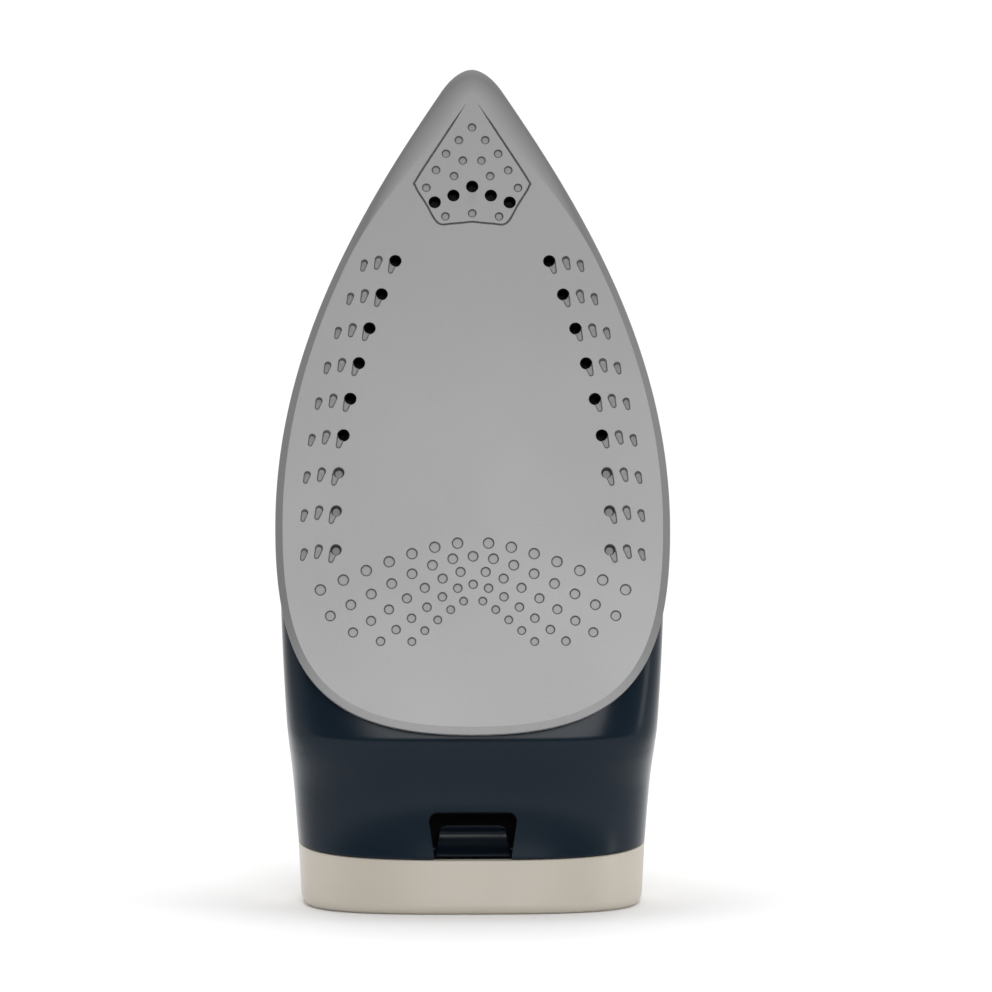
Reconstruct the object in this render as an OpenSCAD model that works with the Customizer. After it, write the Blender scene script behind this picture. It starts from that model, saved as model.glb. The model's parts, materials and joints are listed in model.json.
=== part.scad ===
// Steam iron standing on its heel.
//
// Every module draws in the iron's own frame, as it lies on the soleplate: +Y runs from the heel to the tip,
// +Z goes up from the pressing face, and X is across. stand() then sets the iron upright on its heel,
// leaning back, with the origin at the centre of the heel's resting face.

/* [Stance] */
// Angle that the iron leans back from upright when it stands on its heel
lean = 11; // [9:0.5:13]
// Height above the pressing face of the point of the heel that is the origin
heel_centre_z = 76; // [70:1:80]

/* [Soleplate] */
// Length of the soleplate, from its rear edge to its tip
sole_len = 209; // [206:0.5:212]
// Half the width of the soleplate at its widest
sole_half_w = 60; // [59:0.5:61]
// Thickness of the soleplate
sole_t = 4.5; // [4:0.1:5]
// Distance from the heel to the rear edge of the soleplate
sole_rear_y = 56.5; // [55:0.5:58]
// Diameter of a steam hole
steam_hole_d = 3.2; // [2.5:0.1:3.6]
// Steam holes in each of the two side rows, of which the last three are blind
side_holes = 9; // [7:1:9]

/* [Body] */
// Wall thickness of the plastic shells
wall = 2.2; // [1.8:0.1:2.6]
// Distance along the body at which the heel cover meets the body
seam_q = 14.5; // [14:0.5:16]
// Distance along the body at which the water tank meets the body shell
tank_q = 128; // [124:1:132]
// Gap between neighbouring shells
shell_gap = 0.3; // [0.2:0.05:0.4]

/* [Controls] */
// Radius of the temperature dial
dial_r = 22; // [20:0.5:23]
// Ribs round the temperature dial
dial_ribs = 36; // [24:4:40]

/* [Hidden] */
$fn = 48;
SMALL = 0.05;
tip_y = sole_rear_y + sole_len;

// ---- smooth curves ----

function bez(p, t) =
    pow(1 - t, 3) * p[0] + 3 * pow(1 - t, 2) * t * p[1] + 3 * (1 - t) * t * t * p[2] + pow(t, 3) * p[3];

// Parameter at which a Bezier curve's second coordinate reaches v, by halving.
function bez_at(p, v, lo = 0, hi = 1, n = 16) =
    n == 0 ? (lo + hi) / 2
    : bez(p, (lo + hi) / 2)[1] < v ? bez_at(p, v, (lo + hi) / 2, hi, n - 1)
    : bez_at(p, v, lo, (lo + hi) / 2, n - 1);

function key_index(k, v, i = 0) = i >= len(k) - 2 || v < k[i + 1][0] ? i : key_index(k, v, i + 1);
function key_slope(k, i) =
    let (a = max(i - 1, 0), b = min(i + 1, len(k) - 1)) (k[b][1] - k[a][1]) / (k[b][0] - k[a][0]);

// Value at v of the smooth curve through the keys [position, value].
function along(k, at) =
    let (
        v = min(max(at, k[0][0]), k[len(k) - 1][0]),
        i = key_index(k, v),
        h = k[i + 1][0] - k[i][0],
        t = (v - k[i][0]) / h
    )
    k[i][1] * (1 + 2 * t) * pow(1 - t, 2) + k[i + 1][1] * t * t * (3 - 2 * t)
    + h * key_slope(k, i) * t * pow(1 - t, 2) - h * key_slope(k, i + 1) * t * t * (1 - t);

// ---- outline of the soleplate, as [half width, distance from the tip] ----

SOLE_NOSE = [[0, 0], [5, 0], [7, 4], [10, 8]];
SOLE_SIDE = [[10, 8], [34, 45], [sole_half_w, 90], [sole_half_w, 144]];
SOLE_REAR = [[sole_half_w, 144], [sole_half_w, 192], [45, sole_len], [0, sole_len]];

function sole_half(y) =
    let (t = tip_y - y)
    t < 8 ? bez(SOLE_NOSE, bez_at(SOLE_NOSE, t))[0]
    : t < 144 ? bez(SOLE_SIDE, bez_at(SOLE_SIDE, t))[0]
    : bez(SOLE_REAR, bez_at(SOLE_REAR, t))[0];

SOLE_RIGHT = concat(
    [for (i = [0:5]) bez(SOLE_NOSE, i / 6)],
    [for (i = [0:15]) bez(SOLE_SIDE, i / 16)],
    [for (i = [0:12]) bez(SOLE_REAR, i / 12)]
);
SOLE_OUTLINE = concat(
    [for (p = SOLE_RIGHT) [p[0], tip_y - p[1]]],
    [for (i = [len(SOLE_RIGHT) - 2:-1:1]) [-SOLE_RIGHT[i][0], tip_y - SOLE_RIGHT[i][1]]]
);

// The outline drawn in by a distance, towards a spine down the middle.
function sole_inset(d) = [
    for (i = [0:len(SOLE_OUTLINE) - 1])
        let (
            n = len(SOLE_OUTLINE),
            a = SOLE_OUTLINE[(i + n - 1) % n],
            b = SOLE_OUTLINE[(i + 1) % n],
            e = (b - a) / norm(b - a)
        )
        SOLE_OUTLINE[i] + d * [e[1], -e[0]]
];

// ---- the body's surface: sections along q, each a superellipse that leans forward ----

LEAN_KEYS = [[0, tan(lean)], [seam_q, 0.306], [128, 0.268], [200, 0.12], [tip_y, 0]];
LOW_KEYS = [
    [0, 20], [11, 19], [22.5, 17.8], [33.5, 15.8], [40.5, 12.8], [47.5, 8.6], [54.5, 5.5], [tip_y, 5.5]
];
MID_KEYS = [[0, 60], [60, 46], [110, 33], [160, 23], [220, 14], [tip_y, 8]];
UP_KEYS = [
    [0, 122], [14, 121], [22, 110], [28, 95], [34, 80], [42, 71], [60, 68], [100, 67],
    [150, 64], [185, 57], [215, 43], [240, 29], [256, 18], [tip_y, 10.5]
];
LOW_POWER_KEYS = [[0, 3.2], [34, 3.2], [58, 6], [100, 8], [tip_y, 8]];
UP_POWER_KEYS = [[0, 1.6], [20, 1.6], [45, 2.4], [90, 2.8], [180, 2.3], [tip_y, 2]];
BODY_HALF_W = sole_half_w - 0.5;
HEEL_HALF_W = 53.2;
WIDEST_Q = tip_y - 144;

function body_half(q) =
    q > WIDEST_Q ? sole_half(q) * BODY_HALF_W / sole_half_w
    : BODY_HALF_W - (BODY_HALF_W - HEEL_HALF_W) * pow((WIDEST_Q - q) / WIDEST_Q, 1.7);

// Height of the line where the skirt meets the shells above it.
function split_z(q) = 50 - 0.157 * q;

function signed_pow(v, e) = sign(v) * pow(abs(v), e);

// Angle on a section, from -90 at the underside to 90 on top, at which it reaches height z.
function angle_at(q, z) =
    let (m = along(MID_KEYS, q))
    z < m ? -asin(pow((m - z) / (m - along(LOW_KEYS, q)), along(LOW_POWER_KEYS, q) / 2))
    : asin(pow((z - m) / (along(UP_KEYS, q) - m), along(UP_POWER_KEYS, q) / 2));

// A point of the body's surface, drawn in by a distance.
function body_point(q, a, side, in = 0) =
    let (
        m = along(MID_KEYS, q),
        w = max(body_half(q) - in, SMALL),
        low = min(along(LOW_KEYS, q) + in, m - SMALL),
        up = max(along(UP_KEYS, q) - in, m + SMALL),
        e = 2 / (a < 0 ? along(LOW_POWER_KEYS, q) : along(UP_POWER_KEYS, q)),
        z = m + (a < 0 ? m - low : up - m) * signed_pow(sin(a), e)
    )
    [side * w * pow(max(cos(a), 0), e), q + z * along(LEAN_KEYS, q), z];

// ---- the handle's surface: sections along a path from the heel to the tank ----

// Each key is [step, value]; the steps are even along the path.
HANDLE_Y = [[0, 21.8], [1, 49.5], [2, 76], [3, 108], [4, 140], [5, 168], [6, 188], [7, 198], [8, 201.5]];
HANDLE_Z = [[0, 112], [1, 114.5], [2, 119.5], [3, 122], [4, 119], [5, 108], [6, 88], [7, 62], [8, 34]];
HANDLE_HIGH = [[0, 26], [1, 23], [2, 17], [3, 15], [4, 15.5], [5, 16.5], [6, 15.5], [7, 16], [8, 17]];
HANDLE_WIDE = [[0, 25], [1, 24], [2, 20.5], [3, 18.5], [4, 19], [5, 20.5], [6, 20], [7, 20], [8, 21]];
HANDLE_POWER = 2.3;

function handle_centre(s) = [0, along(HANDLE_Y, s), along(HANDLE_Z, s)];

// Direction across the handle in the middle plane; near the heel it follows the body's leaning sections.
function handle_up(s) =
    let (
        d = handle_centre(min(s + 0.1, 8)) - handle_centre(max(s - 0.1, 0)),
        n = [0, -d[2], d[1]] / norm(d),
        h = [0, along(LEAN_KEYS, s * seam_q), 1],
        k = min(max(s - 1, 0), 1)
    )
    (n * k + h / norm(h) * (1 - k)) / norm(n * k + h / norm(h) * (1 - k));

function handle_point(s, a, in = 0) =
    handle_centre(s)
    + [(along(HANDLE_WIDE, s) - in) * signed_pow(cos(a), 2 / HANDLE_POWER), 0, 0]
    + handle_up(s) * (along(HANDLE_HIGH, s) - in) * signed_pow(sin(a), 2 / HANDLE_POWER);

// ---- solids from grids of points ----

// A closed skin between an outer and an inner grid of points.
module thick_patch(outer, inner) {
    m = len(outer);
    n = len(outer[0]);
    function o(i, j) = i * n + j;
    function k(i, j) = m * n + i * n + j;
    polyhedron(
        points = [for (g = [outer, inner]) for (row = g) each row],
        faces = concat(
            [for (i = [0:m - 2]) for (j = [0:n - 2]) each [
                [o(i, j), o(i + 1, j), o(i + 1, j + 1)], [o(i, j), o(i + 1, j + 1), o(i, j + 1)],
                [k(i, j), k(i + 1, j + 1), k(i + 1, j)], [k(i, j), k(i, j + 1), k(i + 1, j + 1)]
            ]],
            [for (i = [0:m - 2]) each [
                [o(i, 0), k(i, 0), k(i + 1, 0)], [o(i, 0), k(i + 1, 0), o(i + 1, 0)],
                [o(i, n - 1), k(i + 1, n - 1), k(i, n - 1)], [o(i, n - 1), o(i + 1, n - 1), k(i + 1, n - 1)]
            ]],
            [for (j = [0:n - 2]) each [
                [o(0, j), k(0, j + 1), k(0, j)], [o(0, j), o(0, j + 1), k(0, j + 1)],
                [o(m - 1, j), k(m - 1, j), k(m - 1, j + 1)], [o(m - 1, j), k(m - 1, j + 1), o(m - 1, j + 1)]
            ]]
        )
    );
}

// A solid through closed rings of points, with flat ends.
module loft(rings) {
    m = len(rings);
    n = len(rings[0]);
    function mean(r, i = 0, sum = [0, 0, 0]) = i == len(r) ? sum / len(r) : mean(r, i + 1, sum + r[i]);
    polyhedron(
        points = concat([for (r = rings) each r], [mean(rings[0]), mean(rings[m - 1])]),
        faces = concat(
            [for (i = [0:m - 2]) for (j = [0:n - 1]) let (b = (j + 1) % n) each [
                [i * n + j, (i + 1) * n + j, (i + 1) * n + b], [i * n + j, (i + 1) * n + b, i * n + b]
            ]],
            [for (j = [0:n - 1]) [m * n, j, (j + 1) % n]],
            [for (j = [0:n - 1]) [m * n + 1, (m - 1) * n + (j + 1) % n, (m - 1) * n + j]]
        )
    );
}

// A round tube of radius r, sides sided, along points that stay in one plane normal to X.
module tube(path, r, sides = 8) {
    n = len(path);
    loft([
        for (i = [0:n - 1])
            let (
                d = path[min(i + 1, n - 1)] - path[max(i - 1, 0)],
                t = d / norm(d),
                u = cross(t, [1, 0, 0]) / norm(cross(t, [1, 0, 0])),
                v = cross(t, u)
            )
            [for (j = [0:sides - 1]) path[i] + r * (cos(j * 360 / sides) * u + sin(j * 360 / sides) * v)]
    ]);
}

// A coil spring along Z, from z = 0 to height, made of round wire.
module spring(r, wire, height, turns, sides = 6, steps = 12) {
    n = turns * steps;
    loft([
        for (i = [0:n])
            let (a = i * 360 / steps, c = [r * cos(a), r * sin(a), wire + i * (height - 2 * wire) / n])
            [for (j = [0:sides - 1]) let (b = -j * 360 / sides)
                c + wire * [cos(a) * cos(b), sin(a) * cos(b), sin(b)]]
    ]);
}

module rounded_bar(size, r) {
    linear_extrude(size[2])
        offset(r)
            square([size[0] - 2 * r, size[1] - 2 * r], center = true);
}

module stand() {
    translate([0, -heel_centre_z / cos(lean), 0])
        rotate([-lean, 0, 0])
            rotate([90, 0, 180])
                children();
}

// ---- soleplate and heating ----

// Distance from the tip, and half distance apart, of the steam holes in the side rows.
function side_hole_t(i) = 62.5 + 10.5 * i + 0.1 * i * i;
function side_hole_x(t) = 41.6 - 0.0025 * pow(147 - t, 2);
function side_hole(i, side) = [side * side_hole_x(side_hole_t(i)), tip_y - side_hole_t(i)];

BLIND_HOLES = 3;
TIP_HOLES = [[0, 38.6], [5.8, 41.5], [-5.8, 41.5], [11.6, 43.7], [-11.6, 43.7]];
TIP_DIMPLES = [
    [0, 19.5], [4.1, 23.6], [8.1, 28], [2.9, 30.2], [11.2, 33.3], [5.6, 35.2], [14.2, 39], [8.3, 48.2],
    [0, 47.2]
];
ARC_COUNT = [7, 7, 7, 6, 5];
DIMPLE_DEPTH = 0.6;

function arc_x(k, i) = (k % 2 == 0 ? 4.7 - 0.45 * k : 0) + (6.9 - 0.75 * k) * i;
function arc_t(k, x) =
    let (a = 9.5 - 1.5 * k, m = 0.48 + 0.1 * k) 150.6 + 4.3 * k + sqrt(a * a + m * m * x * x) - a;
ARC_DIMPLES = [
    for (k = [0:4])
        for (i = [0:ARC_COUNT[k] - 1 + k % 2])
            let (x = arc_x(k, i)) [x, arc_t(k, x), 1.7 - 0.1 * k]
];

module at_tip(p) {
    for (side = p[0] == 0 ? [1] : [1, -1])
        translate([side * p[0], tip_y - p[1], 0])
            children();
}

module soleplate() {
    color("#a5a5a6")
        difference() {
            loft([
                for (l = [[0, sole_t], [0, 2.3], [0.2, 1.9], [2.4, 0]])
                    [for (p = sole_inset(l[0])) [p[0], p[1], l[1]]]
            ]);
            for (i = [0:side_holes - 1]) for (side = [-1, 1])
                translate([side_hole(i, side)[0], side_hole(i, side)[1], -1])
                    cylinder(d = steam_hole_d, h = i < side_holes - BLIND_HOLES ? sole_t + 2 : 4);
            for (p = TIP_HOLES)
                translate([p[0], tip_y - p[1], -1])
                    cylinder(d = steam_hole_d, h = sole_t + 2);
            for (p = TIP_DIMPLES)
                at_tip(p)
                    translate([0, 0, -1])
                        cylinder(r = 1.3, h = 1 + DIMPLE_DEPTH);
            for (p = ARC_DIMPLES)
                at_tip(p)
                    translate([0, 0, -1])
                        cylinder(r = p[2], h = 1 + DIMPLE_DEPTH);
        }
}

// Outline of the casting: the soleplate's, drawn in and cut straight across at the rear and the tip.
module casting_outline(in, front = 22, rear = 14) {
    intersection() {
        polygon(sole_inset(in));
        translate([-sole_half_w, sole_rear_y + rear])
            square([2 * sole_half_w, sole_len - rear - front]);
    }
}

CASTING_IN = 9;
CASTING_TOP = 16;
CHAMBER_FLOOR = 8.5;
ELEMENT_R = 3.4;
ELEMENT_X = 26;
ELEMENT_BEND_Y = 176;
ELEMENT_REAR_Y = 70.4;
ELEMENT_Z = CHAMBER_FLOOR + ELEMENT_R;

// A bar that follows the heating element's hairpin, hw to each side of its centre line.
module hairpin_2d(hw) {
    for (side = [-1, 1])
        translate([side * ELEMENT_X - hw, ELEMENT_REAR_Y])
            square([2 * hw, ELEMENT_BEND_Y - ELEMENT_REAR_Y + SMALL]);
    translate([0, ELEMENT_BEND_Y])
        intersection() {
            difference() {
                circle(r = ELEMENT_X + hw);
                circle(r = ELEMENT_X - hw);
            }
            translate([-50, 0])
                square([100, 50]);
        }
}

module heater_casting() {
    color("#b9bbbd")
        difference() {
            translate([0, 0, sole_t])
                linear_extrude(CASTING_TOP - sole_t)
                    casting_outline(CASTING_IN);
            translate([0, 0, CHAMBER_FLOOR])
                linear_extrude(CASTING_TOP)
                    hairpin_2d(ELEMENT_R + 0.1);
            translate([0, 0, CHAMBER_FLOOR])
                linear_extrude(CASTING_TOP)
                    translate([-15, 92])
                        square([30, 100]);
            for (p = [for (i = [0:side_holes - BLIND_HOLES - 1]) for (s = [-1, 1]) side_hole(i, s)])
                translate([p[0], p[1], sole_t - 1])
                    cylinder(d = steam_hole_d, h = 4);
            for (p = CASTING_BOLTS)
                translate([p[0], p[1], CASTING_TOP - 8])
                    cylinder(r = 1.6, h = 10);
        }
}

CASTING_BOLTS = [[0, 82], [0, 214], [38, 100], [-38, 100]];

module heating_element() {
    color("#6f6a63") {
        for (side = [-1, 1])
            translate([side * ELEMENT_X, ELEMENT_REAR_Y, ELEMENT_Z])
                rotate([-90, 0, 0])
                    cylinder(r = ELEMENT_R, h = ELEMENT_BEND_Y - ELEMENT_REAR_Y);
        translate([0, ELEMENT_BEND_Y, ELEMENT_Z])
            rotate_extrude(angle = 180)
                translate([ELEMENT_X, 0])
                    circle(r = ELEMENT_R);
    }
}

module element_terminals() {
    color("#c9ccd0")
        for (side = [-1, 1])
            translate([side * ELEMENT_X, ELEMENT_REAR_Y, ELEMENT_Z]) {
                rotate([90, 0, 0])
                    cylinder(r = 1.3, h = 3.4);
                translate([-3, -7, -0.3])
                    cube([6, 4, 1]);
            }
}

module chamber_cover() {
    color("#cfd1d3")
        difference() {
            translate([0, 0, CASTING_TOP + 0.8])
                linear_extrude(1.2)
                    casting_outline(CASTING_IN + 1, 26, 18);
            for (p = CASTING_BOLTS)
                translate([p[0], p[1], CASTING_TOP])
                    cylinder(r = 2.2, h = 4);
            translate([0, VALVE_Y, CASTING_TOP])
                cylinder(r = 3, h = 4);
        }
}

module chamber_seal() {
    color("#c8553d")
        translate([0, 0, CASTING_TOP])
            linear_extrude(0.8)
                difference() {
                    casting_outline(CASTING_IN + 1, 26, 18);
                    casting_outline(CASTING_IN + 5, 30, 22);
                    for (p = CASTING_BOLTS)
                        translate(p)
                            circle(r = 2.2);
                }
}

module sole_gasket() {
    color("#1b1b1c")
        translate([0, 0, sole_t])
            linear_extrude(0.9)
                difference() {
                    polygon(sole_inset(3));
                    polygon(sole_inset(6));
                }
}

module casting_screws() {
    color("#d5d6d8")
        for (p = CASTING_BOLTS)
            translate([p[0], p[1], CASTING_TOP - 6]) {
                cylinder(r = 1.55, h = 8.2);
                translate([0, 0, 8.1])
                    difference() {
                        cylinder(r = 3.2, h = 2.2);
                        translate([-0.5, -4, 1.2])
                            cube([1, 8, 2]);
                    }
            }
}

// ---- thermostat and dial ----

DIAL_Y = 100;
DIAL_Z = 65.4;
THERMOSTAT_Z = CASTING_TOP + 2;
BLADE_Z = THERMOSTAT_Z + 12.3;

module thermostat_base() {
    color("#e4ddcd")
        translate([0, DIAL_Y, THERMOSTAT_Z]) {
            difference() {
                cylinder(r = 11, h = 9);
                translate([0, 0, 6])
                    cylinder(r = 3.3, h = 10);
            }
            for (side = [-1, 1])
                translate([side * 9 - 2, 8, 0])
                    cube([4, 12, 6]);
        }
}

module thermostat_contacts() {
    color("#b08a3c")
        for (side = [-1, 1])
            translate([side * 9 - 1.5, DIAL_Y + 10, THERMOSTAT_Z + 6])
                cube([3, 18, 0.8]);
}

module bimetal_blade() {
    color("#8f979c")
        difference() {
            translate([-4, DIAL_Y - 26, THERMOSTAT_Z + 9])
                cube([8, 30, 0.6]);
            translate([0, DIAL_Y, THERMOSTAT_Z + 8])
                cylinder(r = 3.4, h = 3);
        }
}

FUSE_Y = 136;

module thermal_fuse() {
    color("#d9dce0") {
        translate([-9, FUSE_Y, CASTING_TOP + 4.6])
            rotate([0, 90, 0])
                cylinder(r = 2.4, h = 18);
        for (side = [-1, 1])
            translate([side * 12, FUSE_Y, CASTING_TOP + 4.6])
                rotate([0, 90, 0])
                    cylinder(r = 0.6, h = 6.2, center = true);
    }
}

module dial_spindle() {
    color("#caa95a")
        translate([0, DIAL_Y, THERMOSTAT_Z + 6.2])
            cylinder(r = 3, h = DIAL_Z + 7.4 - THERMOSTAT_Z - 6.2);
}

module dial_bezel() {
    color("#d7d9da")
        translate([0, DIAL_Y, DIAL_Z])
            difference() {
                union() {
                    cylinder(r = dial_r + 4, h = 2.6);
                    translate([0, 0, -5])
                        cylinder(r = 12, h = 5.1);
                }
                translate([0, 0, 1.2])
                    cylinder(r = dial_r + 0.8, h = 4);
                translate([0, 0, -6])
                    cylinder(r = 3.05, h = 10);
            }
}

module temperature_dial() {
    color("#cfc7b6")
        translate([0, DIAL_Y, DIAL_Z + 1.6])
            difference() {
                union() {
                    cylinder(r = dial_r, h = 4.4);
                    translate([0, 0, 4.4])
                        cylinder(r = dial_r - 1.4, h = 5);
                }
                for (i = [0:dial_ribs - 1])
                    rotate([0, 0, i * 360 / dial_ribs])
                        translate([dial_r - 0.7, 0, 5.2])
                            cylinder(r = 1.2, h = 6);
                translate([0, 0, -1])
                    cylinder(r = 3.05, h = 6.9);
                translate([0, 0, 8.2])
                    cylinder(r = dial_r - 5, h = 3);
            }
}

module dial_pointer() {
    color("#20303c")
        translate([0, DIAL_Y, DIAL_Z + 9.8])
            translate([-1.1, 6, 0])
                cube([2.2, dial_r - 12, 0.8]);
}

// ---- shells ----

SKIRT_ARC = 11;
SHELL_ARC = 12;
FRONT_STATIONS = [for (i = [1:13]) tip_y - bez(SOLE_SIDE, 1 - i / 14)[1]];
NOSE_STATIONS = [for (t = [7.4, 4.6, 2.2, 0.7]) tip_y - t];

function body_row(q, from, to, n, in) = concat(
    [for (j = [n:-1:1]) body_point(q, from + (to - from) * j / n, 1, in)],
    [for (j = [0:n]) body_point(q, from + (to - from) * j / n, -1, in)]
);

function skirt_row(q, in) = body_row(q, -90, angle_at(q, split_z(q) - shell_gap / 2), SKIRT_ARC, in);
function upper_row(q, in) = body_row(q, 90, angle_at(q, split_z(q) + shell_gap / 2), SHELL_ARC, in);

// Recess in the underside of the heel, with the latch in it.
LATCH_W = 25;
LATCH_Y = [20.9, 34.7];
LATCH_TAB_W = 20;
LATCH_TOP_Z = 26.5;
LATCH_PIN = [24, 23.4];
LATCH_PIN_R = 0.9;

module skirt() {
    stations = concat(
        [seam_q + shell_gap, 18, 22.5, 28, 33.5, 37, 40.5, 44, 47.5, 51, 54.5, 60, 70, 82, 95, 108],
        FRONT_STATIONS,
        NOSE_STATIONS
    );
    color("#1f2c36")
        difference() {
            union() {
                thick_patch([for (q = stations) skirt_row(q, 0)], [for (q = stations) skirt_row(q, wall)]);
                translate([-LATCH_W / 2 - 2, LATCH_Y[0] + 0.2, 19.6])
                    cube([LATCH_W + 4, LATCH_Y[1] - LATCH_Y[0] + 1.6, LATCH_TOP_Z + 1.6 - 19.6]);
                translate([0, 0, sole_t + 1])
                    linear_extrude(6)
                        difference() {
                            polygon(sole_inset(3.2));
                            polygon(sole_inset(6.2));
                        }
            }
            translate([-LATCH_W / 2, LATCH_Y[0] - 5, 10])
                cube([LATCH_W, LATCH_Y[1] - LATCH_Y[0] + 5, LATCH_TOP_Z - 10]);
            translate([0, LATCH_PIN[0], LATCH_PIN[1]])
                rotate([0, 90, 0])
                    cylinder(r = LATCH_PIN_R, h = LATCH_W + 4, center = true);
            translate([0, 0, -1])
                linear_extrude(12)
                    polygon(sole_inset(6.2));
        }
}

// A press tab, with a dished face and a lip at the seam, that turns on its pin to free the heel cover.
module heel_latch() {
    color("#1a242c")
        difference() {
            translate([-LATCH_TAB_W / 2, 0, 0])
                rotate([90, 0, 90])
                    linear_extrude(LATCH_TAB_W)
                        polygon([
                            [21.6, 19.7], [23.4, 20.2], [25.6, 21.6], [28.4, 21.9], [30, 20.2], [31.2, 20.4],
                            [30.6, 22.6], [28.4, 24.2], [25, 25.2], [21.9, 25]
                        ]);
            translate([0, LATCH_PIN[0], LATCH_PIN[1]])
                rotate([0, 90, 0])
                    cylinder(r = LATCH_PIN_R + 0.05, h = LATCH_W + 10, center = true);
        }
}

module latch_pin() {
    color("#c9ccd0")
        translate([0, LATCH_PIN[0], LATCH_PIN[1]])
            rotate([0, 90, 0])
                cylinder(r = LATCH_PIN_R, h = LATCH_W + 4, center = true);
}

module body_shell() {
    stations = concat(
        [seam_q + shell_gap, 17, 19.5, 22, 24, 26, 28, 30, 32, 34, 37, 42, 48, 60, 75, 92, 110],
        [tank_q - shell_gap / 2]
    );
    color("#1f2c36")
        difference() {
            thick_patch([for (q = stations) upper_row(q, wall)], [for (q = stations) upper_row(q, 0)]);
            handle_solid(1, 2.6, shell_gap);
            translate([0, DIAL_Y, DIAL_Z])
                cylinder(r = dial_r + 4.2, h = 20);
            translate([0, DIAL_Y, 40])
                cylinder(r = 12.3, h = 40);
        }
}

module water_tank() {
    stations = concat(
        [tank_q + shell_gap / 2],
        [for (q = FRONT_STATIONS) if (q > tank_q + 4) q],
        NOSE_STATIONS
    );
    color("#5f7482", 0.55)
        difference() {
            thick_patch([for (q = stations) upper_row(q, wall)], [for (q = stations) upper_row(q, 0)]);
            handle_solid(6, 8, shell_gap);
            in_flap_frame()
                translate([0, 0, -10])
                    rounded_bar([FLAP_SIZE[0] + 3.4, FLAP_SIZE[1] + 3.4, 20], 4.1);
            in_flap_frame()
                translate([-8.2, FLAP_HINGE_Y - 2.2, -10])
                    cube([16.4, 5, 20]);
            in_nozzle_frame()
                translate([0, 0, -6])
                    cylinder(r = 4.8, h = 20);
        }
}

// The floor of the tank: along the line where the tank meets the skirt, but clear above the heater and its
// screws, and falling away under the spray nozzle.
function floor_z(q) = max(split_z(q) + 0.6, CASTING_TOP + 4.6 - 0.0075 * pow(max(q - 224, 0), 2));

module tank_floor() {
    stations = concat([tank_q + 3], [for (q = FRONT_STATIONS) if (q > tank_q + 6) q]);
    function floor_row(q, up) = [
        for (x = [-1:0.5:1])
            let (z = floor_z(q))
            [x * body_point(q, angle_at(q, z + 2), 1, wall + 0.7)[0], q + z * along(LEAN_KEYS, q), z + up]
    ];
    color("#5f7482", 0.55)
        difference() {
            thick_patch([for (q = stations) floor_row(q, 2)], [for (q = stations) floor_row(q, 0)]);
            translate([0, VALVE_Y, 0])
                cylinder(r = 4.1, h = 60);
            translate([-BUTTON_X, 191, 0])
                cylinder(r = 1.6, h = 60);
        }
}

// The wall that closes the tank towards the dial.
module tank_bulkhead() {
    function wall_ring(q) = [
        for (p = upper_row(tank_q + 1, wall + 0.3)) [p[0], p[1] + q, max(p[2], floor_z(tank_q) + 2.3)]
    ];
    color("#5f7482", 0.55)
        loft([wall_ring(2), wall_ring(0)]);
}

function handle_ring(s, in, n = 24) = [for (j = [0:n - 1]) handle_point(s, -j * 360 / n, in)];

module handle_solid(from, to, out) {
    n = ceil((to - from) * 3);
    loft([for (i = [0:n]) handle_ring(from + (to - from) * i / n, -out)]);
}

// Part of the handle's skin between two angles round its section.
module handle_patch(from, to, a0, a1, n, steps, t = wall) {
    rows = [for (i = [0:steps]) from + (to - from) * i / steps];
    thick_patch(
        [for (s = rows) [for (j = [0:n]) handle_point(s, a0 + (a1 - a0) * j / n, t)]],
        [for (s = rows) [for (j = [0:n]) handle_point(s, a0 + (a1 - a0) * j / n, 0)]]
    );
}

HANDLE_START = 1.02;
HANDLE_END = 8;
HANDLE_SPLIT = -6;

module handle_top() {
    slot_z = along(HANDLE_Z, 3.5) + along(HANDLE_HIGH, 3.5) - 6;
    color("#cfc7b6")
        difference() {
            union() {
                handle_patch(HANDLE_START, HANDLE_END, HANDLE_SPLIT + 1, 179 - HANDLE_SPLIT, 14, 24);
                in_handle_screws()
                    translate([0, 0, 6.2])
                        cylinder(r = 3.6, h = 27.6);
            }
            in_handle_screws()
                cylinder(r = 1.45, h = 20);
            in_button_frame()
                for (side = [-1, 1])
                    translate([side * BUTTON_X, 0, -9])
                        rounded_bar([BUTTON_SIZE[0] + 0.6, BUTTON_SIZE[1] + 0.6, 24], 4);
            translate([0, SLIDER_Y, slot_z])
                rounded_bar([5, SLIDER_SLOT, 12], 2.4);
            translate([0, LAMP_Y, LAMP_Z - 5])
                cylinder(r = 2.7, h = 12);
        }
}

module handle_grip() {
    color("#22282d")
        difference() {
            union() {
                handle_patch(HANDLE_START, HANDLE_END, -179 - HANDLE_SPLIT, HANDLE_SPLIT - 1, 12, 24);
                in_handle_screws()
                    translate([0, 0, 3.4])
                        cylinder(r = 4.4, h = 2.6);
            }
            in_handle_screws()
                cylinder(r = 1.6, h = 20);
            in_handle_screws()
                cylinder(r = 2.8, h = 4.6);
        }
}

// Top and bottom of the grip's part of a leaning section, to each side of its centre.
function grip_rise(q) = along(HANDLE_HIGH, q / seam_q) / norm([1, along(LEAN_KEYS, q)]);

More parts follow.
